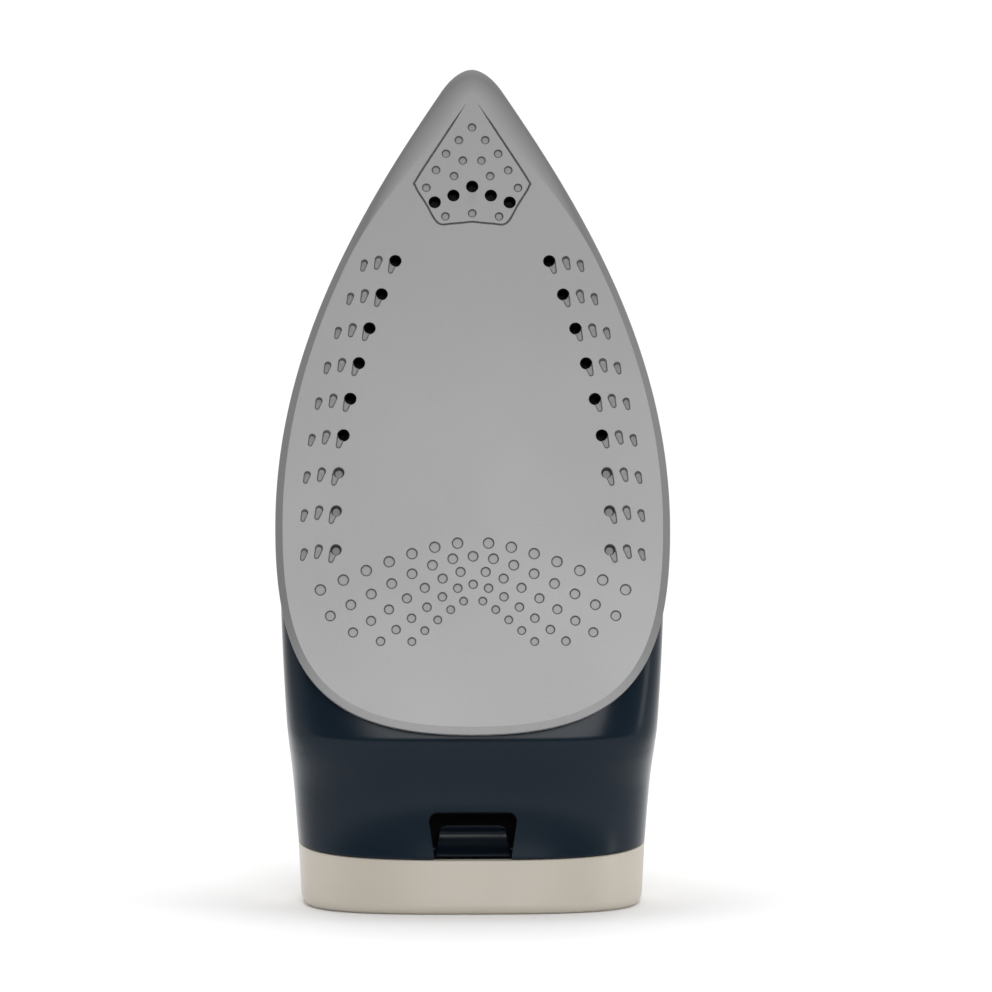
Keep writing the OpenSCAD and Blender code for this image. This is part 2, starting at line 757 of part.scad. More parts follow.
// Half width of the heel at height z: the wider of the body's section and the grip's.
function heel_half(z, q, in) =
    let (
        m = along(MID_KEYS, q),
        body_k = z < m ? (m - z) / (m - along(LOW_KEYS, q) - in) : (z - m) / (along(UP_KEYS, q) - in - m),
        body_e = z < m ? along(LOW_POWER_KEYS, q) : along(UP_POWER_KEYS, q),
        body = body_k >= 1 ? 0 : (body_half(q) - in) * pow(1 - pow(body_k, body_e), 1 / body_e),
        grip_k = abs(z - along(HANDLE_Z, q / seam_q)) / (grip_rise(q) - in),
        grip = grip_k >= 1 ? 0
            : (along(HANDLE_WIDE, q / seam_q) - in) * pow(1 - pow(grip_k, HANDLE_POWER), 1 / HANDLE_POWER)
    )
    max(body, grip);

function heel_ring(q, in, n = 24) =
    let (
        low = along(LOW_KEYS, q) + in,
        top = along(HANDLE_Z, q / seam_q) + grip_rise(q) - in,
        zs = [for (i = [0:n]) low + (top - low) * (1 - cos(i * 180 / n)) / 2],
        lean_q = along(LEAN_KEYS, q)
    )
    concat(
        [[0, q + low * lean_q, low]],
        [for (i = [1:n - 1]) [-heel_half(zs[i], q, in), q + zs[i] * lean_q, zs[i]]],
        [[0, q + top * lean_q, top]],
        [for (i = [n - 1:-1:1]) [heel_half(zs[i], q, in), q + zs[i] * lean_q, zs[i]]]
    );

// Everything behind the flat that slopes off the top of the heel, where the cord comes out.
module behind_cord_flat(in) {
    in_gland_frame()
        translate([-50, -50, GLAND_TO_FLAT - in])
            cube(100);
}

module heel_cover() {
    color("#c0b8a8")
        difference() {
            loft([
                for (l = [[0, 1.6], [0.7, 0.5], [2, 0], [6, 0], [10.5, 0], [seam_q, 0]])
                    heel_ring(l[0], l[1])
            ]);
            behind_cord_flat(0);
            difference() {
                loft([for (q = [4, 8, 12, seam_q + 1]) heel_ring(q, wall)]);
                behind_cord_flat(wall);
            }
            in_gland_frame()
                translate([-GLAND_NECK_R - 0.9, -GLAND_SLOT / 2, 0])
                    cube([2 * GLAND_NECK_R + 1.8, GLAND_SLOT, 30]);
            in_heel_screws() {
                cylinder(r = 1.7, h = 20);
                translate([0, 0, -5])
                    cylinder(r = 3.4, h = 7.4);
            }
            for (side = [-1, 1])
                stand_normal()
                    translate([side * FOOT_X, 0, -1])
                        rounded_bar([FOOT_SIZE[0] + 0.3, FOOT_SIZE[1] + 0.3, 2.4], 3.9);
        }
}

// Draws on the heel's resting face: +Z into the iron, +Y towards the handle, origin at the iron's origin.
module stand_normal() {
    translate([0, heel_centre_z * tan(lean), heel_centre_z])
        rotate([90 - lean, 0, 0])
            mirror([0, 0, 1])
                children();
}

// Two long soft feet let into the heel's resting face, a little proud of it.
FOOT_SIZE = [8, 46];
FOOT_X = 30;

module heel_feet() {
    color("#3a3d40")
        stand_normal()
            for (side = [-1, 1])
                translate([side * FOOT_X, 0, 0])
                    rounded_bar([FOOT_SIZE[0], FOOT_SIZE[1], 1.4], 3.8);
}

HEEL_SCREWS = [[0, -38], [0, 10]];

module in_heel_screws() {
    for (p = HEEL_SCREWS)
        stand_normal()
            translate([p[0], p[1], 0])
                children();
}

module heel_screws() {
    color("#aeb1b4")
        in_heel_screws()
            difference() {
                union() {
                    translate([0, 0, 1])
                        cylinder(r = 3, h = 1.4);
                    translate([0, 0, 2])
                        cylinder(r = 1.6, h = 12);
                }
                for (a = [0, 90])
                    rotate([0, 0, a])
                        translate([-0.5, -2.2, 0])
                            cube([1, 4.4, 1.8]);
            }
}

// ---- cord gland: a drum that swivels up and down on its own pins ----

GLAND_AT = [40, 115];
GLAND_TILT = 52;
GLAND_R = 10;
GLAND_W = 12.6;
GLAND_TO_FLAT = 9;
GLAND_NECK_R = 5.6;
GLAND_SLOT = 22;
GLAND_PIN_R = 3;
CORD_R = 3.5;

// Draws with the origin on the drum's axis and +Z out along the cord's way.
module in_gland_frame() {
    translate([0, GLAND_AT[0], GLAND_AT[1]])
        rotate([GLAND_TILT, 0, 0])
            children();
}

module cord_gland() {
    color("#23282c")
        in_gland_frame()
            difference() {
                union() {
                    rotate([0, 90, 0]) {
                        cylinder(r = GLAND_R, h = GLAND_W, center = true);
                        cylinder(r = GLAND_PIN_R, h = GLAND_W + 5, center = true);
                    }
                    cylinder(r = GLAND_NECK_R, h = 14);
                }
                translate([0, 0, -20])
                    cylinder(r = CORD_R, h = 40);
                translate([-20, -20, -28])
                    cube([40, 40, 20]);
            }
}

module gland_socket() {
    color("#8b9094")
        in_gland_frame()
            for (side = [-1, 1])
                difference() {
                    translate([side * (GLAND_W / 2 + 1.9) - 1.4, -9, -13])
                        cube([2.8, 18, 18]);
                    rotate([0, 90, 0])
                        cylinder(r = GLAND_PIN_R + 0.05, h = 40, center = true);
                }
        in_gland_frame()
            translate([-GLAND_W / 2 - 3.3, -9, -15])
                difference() {
                    cube([GLAND_W + 6.6, 18, 2.6]);
                    translate([GLAND_W / 2 + 3.3, 9, -1])
                        cylinder(r = CORD_R + 2, h = 6);
                }
}

module cord_clamp() {
    color("#e7e3d8")
        translate([0, 66, 112])
            difference() {
                translate([-9, -4, -5])
                    cube([18, 8, 10]);
                rotate([90, 0, 0])
                    cylinder(r = CORD_R, h = 30, center = true);
            }
}

BLOCK_X = [-9, 0, 9];

module terminal_block() {
    color("#efece2")
        difference() {
            translate([-14, 27, 58])
                cube([28, 12, 14]);
            for (x = BLOCK_X)
                translate([x, 33, 50])
                    cylinder(r = 2, h = 30);
        }
}

module terminal_screws() {
    color("#c8a552")
        for (x = BLOCK_X)
            translate([x, 33, 62])
                cylinder(r = 1.9, h = 8);
}

// Leads from the terminal block to the heating element and the thermostat.
module power_leads() {
    color("#b23b32")
        for (x = [-9, 9])
            tube([
                [x, 33, 57], [x, 34, 48], [x * 1.1, 40, 38], [x * 1.2, 52, 31], [x * 1.15, 70, 28.6],
                [x, 96 + abs(x), 28.8], [x, 114, 26.6]
            ], 1.1);
}

// ---- steam control: a slider on the handle lifts the valve needle with a forked ramp ----

VALVE_Y = 190;
SLIDER_TRAVEL = 8;
SLIDER_SLOT = 18;
SLIDER_Y = 124;
RAMP_END = [[-16, 92.25], [-12.6, 92.25], [2.2, 88.55], [2.2, 85], [-16, 85]];
NEEDLE_TOP_Z = 93.8;

// The slider is drawn shut, at the rear end of its travel.
module steam_slider() {
    top = along(HANDLE_Z, 3.5) + along(HANDLE_HIGH, 3.5) - 0.3;
    color("#22282d")
        translate([0, SLIDER_Y - SLIDER_TRAVEL / 2, top]) {
            translate([0, 0, 0.9])
                rounded_bar([13, 11, 3], 2.5);
            translate([0, 0, -5])
                rounded_bar([4.4, 8, 6.2], 2);
            for (i = [-2:2])
                translate([-5, i * 1.9 - 0.35, 3.8])
                    cube([10, 0.7, 0.6]);
        }
}

module slider_link() {
    t = 2.6;
    color("#dfe3e6") {
        translate([-t / 2, 0, 0])
            rotate([90, 0, 90])
                linear_extrude(t)
                    polygon([
                        [117.5, 131], [122.5, 131], [123.5, 120], [150, 111], [168, 98.5], [177, 90.5],
                        [177, 85], [174, 85], [166, 94.5], [148, 106.6], [118.5, 115.5]
                    ]);
        for (side = [-1, 1])
            translate([side * 3.6 - 1.2, VALVE_Y, 0])
                rotate([90, 0, 90])
                    linear_extrude(2.4)
                        polygon(RAMP_END);
        translate([-4.8, VALVE_Y - 16, 85])
            cube([9.6, 3, 5.5]);
    }
}

module valve_needle() {
    color("#d8b45a")
        translate([0, VALVE_Y, 0]) {
            translate([0, 0, CASTING_TOP + 7])
                cylinder(r = 1.5, h = NEEDLE_TOP_Z - CASTING_TOP - 7);
            translate([0, 0, CASTING_TOP + 4])
                cylinder(r1 = 0.8, r2 = 2, h = 3.1);
            translate([0, 0, NEEDLE_TOP_Z - 3.4])
                cylinder(r = 4.4, h = 2.4);
        }
}

module valve_seat() {
    color("#c8553d")
        translate([0, VALVE_Y, CASTING_TOP + 2.2])
            difference() {
                cylinder(r = 4, h = 6);
                translate([0, 0, -1])
                    cylinder(r = 2.6, h = 8);
            }
}

// ---- pumps under the spray and steam burst buttons ----

BUTTON_AT = [163, 127.4, -27];
BUTTON_X = 9.2;
BUTTON_SIZE = [16, 19];
BUTTON_TOP = 5;
PUMP_R = 5.2;
PUMP_TOP = -11.5;
PUMP_FLOOR = -23;
PLUNGER_R = 4;
PLUNGER_END = -15;

module in_button_frame() {
    translate([0, BUTTON_AT[0], BUTTON_AT[1]])
        rotate([BUTTON_AT[2], 0, 0])
            children();
}

module button(x) {
    in_button_frame()
        translate([x, 0, 0]) {
            translate([0, 0, -5])
                rounded_bar([BUTTON_SIZE[0], BUTTON_SIZE[1], BUTTON_TOP + 4.2], 3.7);
            translate([0, 0, BUTTON_TOP - 0.9])
                rounded_bar([BUTTON_SIZE[0] - 2, BUTTON_SIZE[1] - 2, 0.9], 3);
            translate([0, 0, PLUNGER_END])
                cylinder(r = PLUNGER_R, h = -4.8 - PLUNGER_END);
        }
}

module pump(x) {
    in_button_frame()
        translate([x, 0, PUMP_FLOOR])
            difference() {
                cylinder(r = PUMP_R, h = PUMP_TOP - PUMP_FLOOR);
                translate([0, 0, 1.4])
                    cylinder(r = PLUNGER_R + 0.06, h = 20);
                translate([0, 0, -1])
                    cylinder(r = 0.8, h = 4);
            }
}

module pump_spring(x) {
    in_button_frame()
        translate([x, 0, PUMP_FLOOR + 1.5])
            spring(2.8, 0.35, PLUNGER_END - PUMP_FLOOR - 1.6, 3);
}

// A place inside the handle, at x, below its middle line by a distance.
function inside_handle(s, x, below) = handle_centre(s) - handle_up(s) * below + [x, 0, 0];

// The pump's outlet pipe, from under the pump down through the handle's front leg.
function pump_outlet(x) = concat(
    [
        for (z = [PUMP_FLOOR - 0.2, PUMP_FLOOR - 2.5])
            [x, BUTTON_AT[0] - z * sin(BUTTON_AT[2]), BUTTON_AT[1] + z * cos(BUTTON_AT[2])]
    ],
    [for (s = [4.75:0.5:7.25]) inside_handle(s, x, 9)]
);

module spray_button() {
    color("#22282d")
        button(BUTTON_X);
}

module burst_button() {
    color("#22282d")
        button(-BUTTON_X);
}

module spray_pump() {
    color("#dfe3e6")
        pump(BUTTON_X);
}

module burst_pump() {
    color("#dfe3e6")
        pump(-BUTTON_X);
}

module spray_spring() {
    color("#b9bdc1")
        pump_spring(BUTTON_X);
}

module burst_spring() {
    color("#b9bdc1")
        pump_spring(-BUTTON_X);
}

module spray_tube() {
    color("#e9edf0", 0.7)
        tube(
            concat(
                pump_outlet(BUTTON_X),
                [[9.6, 198, 38], [10.6, 208, 31.5], [10.8, 222, 26.5]],
                [[8, 233, 24.6], [3, 240, 23.2], [0, 243.9, 21.5]]
            ),
            1.5
        );
}

module burst_tube() {
    color("#e9edf0", 0.7)
        tube(
            concat(pump_outlet(-BUTTON_X), [[-BUTTON_X, 191, 36], [-BUTTON_X, 191, CASTING_TOP + 2.1]]),
            1.5
        );
}

// ---- spray nozzle ----

NOZZLE_AT = [248.5, 22.8];
NOZZLE_TILT = -45;

module in_nozzle_frame() {
    translate([0, NOZZLE_AT[0], NOZZLE_AT[1]])
        rotate([NOZZLE_TILT, 0, 0])
            children();
}

module spray_nozzle() {
    color("#c9ccd0")
        in_nozzle_frame()
            difference() {
                union() {
                    translate([0, 0, -3])
                        cylinder(r = 2.2, h = 4.7);
                    translate([0, 0, 0.6])
                        cylinder(r1 = 3, r2 = 2, h = 1.6);
                }
                translate([0, 0, -4])
                    cylinder(r = 0.5, h = 12, $fn = 24);
            }
}

module nozzle_bezel() {
    color("#22282d")
        in_nozzle_frame()
            translate([0, 0, -2])
                difference() {
                    cylinder(r = 4.6, h = 3);
                    translate([0, 0, -1])
                        cylinder(r = 3.2, h = 6);
                }
}

// ---- filling port, at the front of the tank ----

FLAP_AT = [228, 37.4];
FLAP_TILT = -34;
FLAP_SIZE = [22, 15];
FLAP_T = 2.2;
FLAP_HINGE_Y = -FLAP_SIZE[1] / 2 - 1.2;
FLAP_PIN_R = 0.8;

module in_flap_frame() {
    translate([0, FLAP_AT[0], FLAP_AT[1]])
        rotate([FLAP_TILT, 0, 0])
            children();
}

module fill_flap() {
    color("#22282d")
        in_flap_frame()
            difference() {
                union() {
                    rounded_bar([FLAP_SIZE[0], FLAP_SIZE[1], FLAP_T], 2.8);
                    translate([0, FLAP_SIZE[1] / 2 - 2.4, FLAP_T - 0.1])
                        rounded_bar([9, 1.8, 0.9], 0.85);
                    translate([-5, FLAP_HINGE_Y, 0.6])
                        cube([10, 2.4, 1.6]);
                    translate([-5, FLAP_HINGE_Y, 1])
                        rotate([0, 90, 0])
                            cylinder(r = 1.8, h = 10);
                }
                for (side = [-1, 1])
                    translate([side * 6.6 - 1.5, -8.2, -1])
                        cube([3, 2.6, 5]);
                translate([-8, FLAP_HINGE_Y, 1])
                    rotate([0, 90, 0])
                        cylinder(r = FLAP_PIN_R + 0.05, h = 16);
            }
}

module flap_pin() {
    color("#c9ccd0")
        in_flap_frame()
            translate([-8, FLAP_HINGE_Y, 1])
                rotate([0, 90, 0])
                    cylinder(r = FLAP_PIN_R, h = 16);
}

// The ring that lines the port: the flap sits in its rim, and its two ears hold the hinge pin.
module fill_frame() {
    color("#39444d")
        in_flap_frame()
            difference() {
                union() {
                    translate([0, 0, -3])
                        rounded_bar([FLAP_SIZE[0] + 3, FLAP_SIZE[1] + 3, 4.4], 4);
                    translate([0, -1, -12])
                        rounded_bar([17, 10, 9.5], 3);
                    for (side = [-1, 1])
                        translate([side * 6.6 - 1.2, FLAP_HINGE_Y - 1.8, -3])
                            cube([2.4, 4, 5.8]);
                }
                translate([0, 0, -0.4])
                    rounded_bar([FLAP_SIZE[0] + 0.5, FLAP_SIZE[1] + 0.5, 6], 2.9);
                translate([-5.3, FLAP_HINGE_Y - 3, -1.2])
                    cube([10.6, 6, 6]);
                translate([0, -1, -20])
                    rounded_bar([14, 7, 30], 2.4);
                translate([-8.5, FLAP_HINGE_Y, 1])
                    rotate([0, 90, 0])
                        cylinder(r = FLAP_PIN_R, h = 17);
            }
}

// ---- lamp and handle screws ----

LAMP_Y = 68;
LAMP_Z = 134;

module indicator_lens() {
    color("#e38b2c", 0.8)
        translate([0, LAMP_Y, LAMP_Z])
            difference() {
                union() {
                    cylinder(r = 2.6, h = 3.6);
                    translate([0, 0, -2.6])
                        cylinder(r = 3.6, h = 2.7);
                }
                translate([0, 0, -3])
                    cylinder(r = 1.9, h = 4);
            }
}

module indicator_lamp() {
    color("#f3e9dd")
        translate([0, LAMP_Y, LAMP_Z - 13]) {
            cylinder(r = 1.7, h = 13.4);
            for (side = [-1, 1])
                translate([side * 0.8, 0, -3.4])
                    cylinder(r = 0.3, h = 3.5, $fn = 16);
        }
}

HANDLE_SCREW_Y = [84, 104];
HANDLE_SCREW_Z = [101.6, 105.2];

module in_handle_screws() {
    for (i = [0:1])
        translate([0, HANDLE_SCREW_Y[i], HANDLE_SCREW_Z[i]])
            children();
}

module handle_screws() {
    color("#aeb1b4")
        in_handle_screws()
            translate([0, 0, 3]) {
                difference() {
                    cylinder(r = 2.6, h = 1.6);
                    for (a = [0, 90])
                        rotate([0, 0, a])
                            translate([-0.4, -1.8, -0.1])
                                cube([0.8, 3.6, 1]);
                }
                translate([0, 0, 1.5])
                    cylinder(r = 1.4, h = 14);
            }
}

// ---- what is drawn ----

stand() soleplate();
stand() sole_gasket();
stand() heater_casting();
stand() heating_element();
stand() element_terminals();
stand() chamber_seal();
stand() chamber_cover();
stand() casting_screws();
stand() thermostat_base();
stand() thermostat_contacts();
stand() bimetal_blade();
stand() thermal_fuse();
stand() dial_spindle();
stand() dial_bezel();
stand() temperature_dial();
stand() dial_pointer();
stand() skirt();
stand() heel_latch();
stand() latch_pin();
stand() body_shell();
stand() water_tank();
stand() tank_floor();
stand() tank_bulkhead();
stand() handle_top();
stand() handle_grip();
stand() handle_screws();
stand() heel_cover();
stand() heel_feet();
stand() heel_screws();
stand() cord_gland();
stand() gland_socket();
stand() cord_clamp();
stand() terminal_block();
stand() terminal_screws();
stand() power_leads();
stand() steam_slider();
stand() slider_link();
stand() valve_needle();
stand() valve_seat();
stand() spray_button();
stand() burst_button();
stand() spray_pump();
stand() burst_pump();
stand() spray_spring();
stand() burst_spring();
stand() spray_tube();
stand() burst_tube();
stand() spray_nozzle();
stand() nozzle_bezel();
stand() fill_frame();
stand() fill_flap();
stand() flap_pin();
stand() indicator_lens();
stand() indicator_lamp();
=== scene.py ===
"""A steam iron standing on its heel: the visual model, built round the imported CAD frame.

Shapes are worked out in millimetres in the iron's own frame, as it lies on its soleplate: x goes across,
y from the heel to the tip, and z up from the pressing face. STAND carries them into the frame's metres.
"""

import json
import math

import bmesh
import bpy
import numpy as np
from mathutils import Matrix, Vector


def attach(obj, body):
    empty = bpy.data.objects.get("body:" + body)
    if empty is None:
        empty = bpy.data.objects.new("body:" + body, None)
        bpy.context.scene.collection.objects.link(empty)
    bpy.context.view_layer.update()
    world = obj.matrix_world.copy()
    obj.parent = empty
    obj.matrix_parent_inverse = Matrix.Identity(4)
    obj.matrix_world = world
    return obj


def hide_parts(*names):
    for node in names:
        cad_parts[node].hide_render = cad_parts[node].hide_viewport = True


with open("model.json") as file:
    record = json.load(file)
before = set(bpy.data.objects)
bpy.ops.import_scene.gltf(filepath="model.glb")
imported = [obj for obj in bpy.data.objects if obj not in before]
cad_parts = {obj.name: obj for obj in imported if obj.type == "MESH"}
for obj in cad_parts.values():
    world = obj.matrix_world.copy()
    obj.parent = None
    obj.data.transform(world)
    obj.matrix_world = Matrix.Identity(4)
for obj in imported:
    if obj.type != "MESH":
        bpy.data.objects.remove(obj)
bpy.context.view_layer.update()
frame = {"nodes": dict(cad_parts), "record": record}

# ---- driving sizes, in millimetres and degrees, as in the CAD ----

LEAN = math.radians(11)
HEEL_CENTRE_Z = 76
SOLE_LEN = 209
SOLE_HALF_W = 60
SOLE_T = 4.5
SOLE_REAR_Y = 56.5
TIP_Y = SOLE_REAR_Y + SOLE_LEN
WALL = 2.2
SEAM_Q = 14.5
TANK_Q = 128
GAP = 0.3
DIAL_R = 22

STAND = (
    Matrix.Scale(0.001, 4)
    @ Matrix.Translation((0, -HEEL_CENTRE_Z / math.cos(LEAN), 0))
    @ Matrix.Rotation(-LEAN, 4, "X")
    @ Matrix.Rotation(math.pi, 4, "Z")
    @ Matrix.Rotation(math.pi / 2, 4, "X")
)


def shift(x, y, z):
    return Matrix.Translation((x, y, z))


def turned(y, z, tilt):
    """A place in the iron's middle plane, turned about X by tilt degrees."""
    return shift(0, y, z) @ Matrix.Rotation(math.radians(tilt), 4, "X")


# ---- smooth curves ----


def bezier(points, t):
    """Points of a cubic Bezier curve at the values t."""
    a, b, c, d = (np.array(p, float)[None, :] for p in points)
    t = np.asarray(t, float)[:, None]
    return (1 - t) ** 3 * a + 3 * (1 - t) ** 2 * t * b + 3 * (1 - t) * t**2 * c + t**3 * d


def keyed(keys):
    """The smooth curve through the keys (place, value), as a function."""
    at = np.array([k[0] for k in keys], float)
    value = np.array([k[1] for k in keys], float)
    before = np.maximum(np.arange(len(at)) - 1, 0)
    after = np.minimum(np.arange(len(at)) + 1, len(at) - 1)
    slope = (value[after] - value[before]) / (at[after] - at[before])

    def curve(v):
        v = np.clip(v, at[0], at[-1])
        i = np.clip(np.searchsorted(at, v, side="right") - 1, 0, len(at) - 2)
        h = at[i + 1] - at[i]
        t = (v - at[i]) / h
        ends = value[i] * (1 + 2 * t) * (1 - t) ** 2 + value[i + 1] * t * t * (3 - 2 * t)
        return ends + h * t * (1 - t) * (slope[i] * (1 - t) - slope[i + 1] * t)

    return curve


def evenly(*values):
    """The smooth curve through values at 0, 1, 2 and so on."""
    return keyed(list(enumerate(values)))


def smoothstep(low, high, v):
    t = np.clip((np.asarray(v, float) - low) / (high - low), 0, 1)
    return t * t * (3 - 2 * t)


def signed_power(v, e):
    return np.sign(v) * np.abs(v) ** e


# ---- the soleplate's outline: half width, and distance from the tip ----

SOLE_NOSE = [(0, 0), (2.6, 0), (6.4, 2.2), (10, 8)]
SOLE_SIDE = [(10, 8), (34, 45), (SOLE_HALF_W, 90), (SOLE_HALF_W, 144)]
SOLE_REAR = [(SOLE_HALF_W, 144), (SOLE_HALF_W, 192), (45, SOLE_LEN), (0, SOLE_LEN)]
SOLE_RIGHT = np.concatenate(
    [
        bezier(SOLE_NOSE, np.linspace(0, 1, 25)[:-1]),
        bezier(SOLE_SIDE, np.linspace(0, 1, 61)[:-1]),
        bezier(SOLE_REAR, np.linspace(0, 1, 61)),
    ]
)
SOLE_LEFT = SOLE_RIGHT[-2:0:-1] * (-1, 1)
SOLE_OUTLINE = np.concatenate([SOLE_RIGHT, SOLE_LEFT])


def sole_half(y):
    """Half width of the soleplate at y, ahead of its widest place."""
    return np.interp(TIP_Y - np.asarray(y, float), SOLE_RIGHT[:85, 1], SOLE_RIGHT[:85, 0])


def sole_spine(points):
    """Where each point of the outline moves towards as the outline is drawn in."""
    return np.stack([0 * points[:, 0], np.minimum(0.9 * points[:, 1] + 16, 148)], axis=1)


def sole_ring(inset, z):
    """The outline drawn in by a distance for each point, at height z, in the iron's frame."""
    inward = sole_spine(SOLE_OUTLINE) - SOLE_OUTLINE
    inward /= np.linalg.norm(inward, axis=1)[:, None]
    ring = SOLE_OUTLINE + inward * np.broadcast_to(inset, len(SOLE_OUTLINE))[:, None]
    heights = np.broadcast_to(z, len(ring))
    return np.stack([ring[:, 0], TIP_Y - ring[:, 1], heights], axis=1)


# ---- the body's surface: sections along q, each a superellipse that leans forward ----

lean_at = keyed([(0, math.tan(LEAN)), (SEAM_Q, 0.306), (128, 0.268), (200, 0.12), (TIP_Y, 0)])
low_at = keyed(
    [(0, 20), (11, 19), (22.5, 17.8), (33.5, 15.8), (40.5, 12.8), (47.5, 8.6), (54.5, 5.5), (TIP_Y, 5.5)]
)
mid_at = keyed([(0, 60), (60, 46), (110, 33), (160, 23), (220, 14), (TIP_Y, 8)])
up_at = keyed(
    [(0, 122), (14, 121), (22, 110), (28, 95), (34, 80), (42, 71), (60, 68), (100, 67)]
    + [(150, 64), (185, 57), (215, 43), (240, 29), (256, 18), (TIP_Y, 10.5)]
)
low_power_at = keyed([(0, 3.2), (34, 3.2), (58, 6), (100, 8), (TIP_Y, 8)])
up_power_at = keyed([(0, 1.6), (20, 1.6), (45, 2.4), (90, 2.8), (180, 2.3), (TIP_Y, 2)])
BODY_HALF_W = SOLE_HALF_W - 0.5
HEEL_HALF_W = 53.2
WIDEST_Q = TIP_Y - 144


def body_half(q):
    q = np.asarray(q, float)
    rear = np.clip((WIDEST_Q - q) / WIDEST_Q, 0, 1) ** 1.7
    return np.where(
        q > WIDEST_Q,
        sole_half(q) * BODY_HALF_W / SOLE_HALF_W,
        BODY_HALF_W - (BODY_HALF_W - HEEL_HALF_W) * rear,
    )


def split_z(q):
    """Height of the line where the skirt meets the shells above it."""
    return 50 - 0.157 * q


def angle_at(q, z):
    """Angle on a section, from -90 at the underside to 90 on top, at which it reaches height z."""
    m = mid_at(q)
    under = np.clip((m - z) / (m - low_at(q)), 0, 1) ** (low_power_at(q) / 2)
    over = np.clip((z - m) / (up_at(q) - m), 0, 1) ** (up_power_at(q) / 2)
    return np.where(z < m, -np.degrees(np.arcsin(under)), np.degrees(np.arcsin(over)))


def body_point(q, angle, side, inset=0.0):
    """Points of the body's surface, drawn in by a distance."""
    q, angle, side, inset = np.broadcast_arrays(np.asarray(q, float), angle, side, inset)
    m = mid_at(q)
    w = np.maximum(body_half(q) - inset, 0.05)
    low = np.minimum(low_at(q) + inset, m - 0.05)
    up = np.maximum(up_at(q) - inset, m + 0.05)
    a = np.radians(angle)
    e = 2 / np.where(angle < 0, low_power_at(q), up_power_at(q))
    z = m + np.where(angle < 0, m - low, up - m) * signed_power(np.sin(a), e)
    return np.stack([side * w * np.maximum(np.cos(a), 0) ** e, q + z * lean_at(q), z], axis=-1)


# ---- the handle's surface: sections along a path from the heel to the tank ----

handle_y = evenly(21.8, 49.5, 76, 108, 140, 168, 188, 198, 201.5)
handle_z = evenly(112, 114.5, 119.5, 122, 119, 108, 88, 62, 34)
handle_high = evenly(26, 23, 17, 15, 15.5, 16.5, 15.5, 16, 17)
handle_wide = evenly(25, 24, 20.5, 18.5, 19, 20.5, 20, 20, 21)
HANDLE_POWER = 2.3
HANDLE_START = 1.02
HANDLE_END = 8
HANDLE_SPLIT = -6


def handle_up(s):
    """Direction across the handle in the middle plane."""
    ahead, behind = np.minimum(s + 0.1, 8), np.maximum(s - 0.1, 0)
    dy, dz = handle_y(ahead) - handle_y(behind), handle_z(ahead) - handle_z(behind)
    path = np.stack([-dz, dy], axis=-1) / np.hypot(dy, dz)[..., None]
    heel = np.stack([lean_at(s * SEAM_Q), np.ones_like(s)], axis=-1)
    heel /= np.linalg.norm(heel, axis=-1)[..., None]
    k = np.clip(s - 1, 0, 1)[..., None]
    up = path * k + heel * (1 - k)
    return up / np.linalg.norm(up, axis=-1)[..., None]


def handle_point(s, angle, inset=0.0):
    s, angle, inset = np.broadcast_arrays(np.asarray(s, float), angle, inset)
    a = np.radians(angle)
    e = 2 / HANDLE_POWER
    across = (handle_wide(s) - inset) * signed_power(np.cos(a), e)
    rise = (handle_high(s) - inset) * signed_power(np.sin(a), e)
    up = handle_up(s)
    return np.stack([across, handle_y(s) + up[..., 0] * rise, handle_z(s) + up[..., 1] * rise], axis=-1)


# ---- the heel's sections ----


def grip_rise(q):
    return handle_high(q / SEAM_Q) / np.hypot(1, lean_at(q))


def heel_half(z, q, inset):
    """Half width of the heel at height z: the wider of the body's section and the grip's."""
    m = mid_at(q)
    body_k = np.where(z < m, (m - z) / (m - low_at(q) - inset), (z - m) / (up_at(q) - inset - m))
    body_e = np.where(z < m, low_power_at(q), up_power_at(q))
    body = (body_half(q) - inset) * np.maximum(1 - np.clip(body_k, 0, 1) ** body_e, 0) ** (1 / body_e)
    grip_k = np.clip(np.abs(z - handle_z(q / SEAM_Q)) / (grip_rise(q) - inset), 0, 1)
    grip_w = (handle_wide(q / SEAM_Q) - inset) * (1 - grip_k**HANDLE_POWER) ** (1 / HANDLE_POWER)
    return np.maximum(body, grip_w)


def heel_ring(q, inset):
    """A closed section of the heel, drawn in by a distance."""
    steps = 90
    low = low_at(q) + inset
    top = handle_z(q / SEAM_Q) + grip_rise(q) - inset
    z = low + (top - low) * (1 - np.cos(np.linspace(0, math.pi, steps + 1))) / 2
    half = heel_half(z, q, inset)
    half[0] = half[-1] = 0
    y = q + z * lean_at(q)
    left = np.stack([-half, y, z], axis=1)
    right = np.stack([half, y, z], axis=1)[-2:0:-1]
    return np.concatenate([left, right])


# ---- meshes ----

STEEP_BELOW = 0.93


def linked(name, data):
    """An object in the scene that shows the data."""
    thing = bpy.data.objects.new(name, data)
    bpy.context.scene.collection.objects.link(thing)
    return thing


def shape(name, points, faces):
    """A mesh object in the iron's own frame, with its faces turned outwards."""
    mesh = bpy.data.meshes.new(name)
    mesh.from_pydata([tuple(p) for p in points], [], faces)
    bm = bmesh.new()
    bm.from_mesh(mesh)
    bmesh.ops.remove_doubles(bm, verts=bm.verts, dist=1e-4)
    bmesh.ops.recalc_face_normals(bm, faces=bm.faces)
    bm.to_mesh(mesh)
    bm.free()
    return linked(name, mesh)


def grid_faces(rows, columns, start=0):
    return [
        (start + i * columns + j, start + (i + 1) * columns + j)
        + (start + (i + 1) * columns + j + 1, start + i * columns + j + 1)
        for i in range(rows - 1)
        for j in range(columns - 1)
    ]


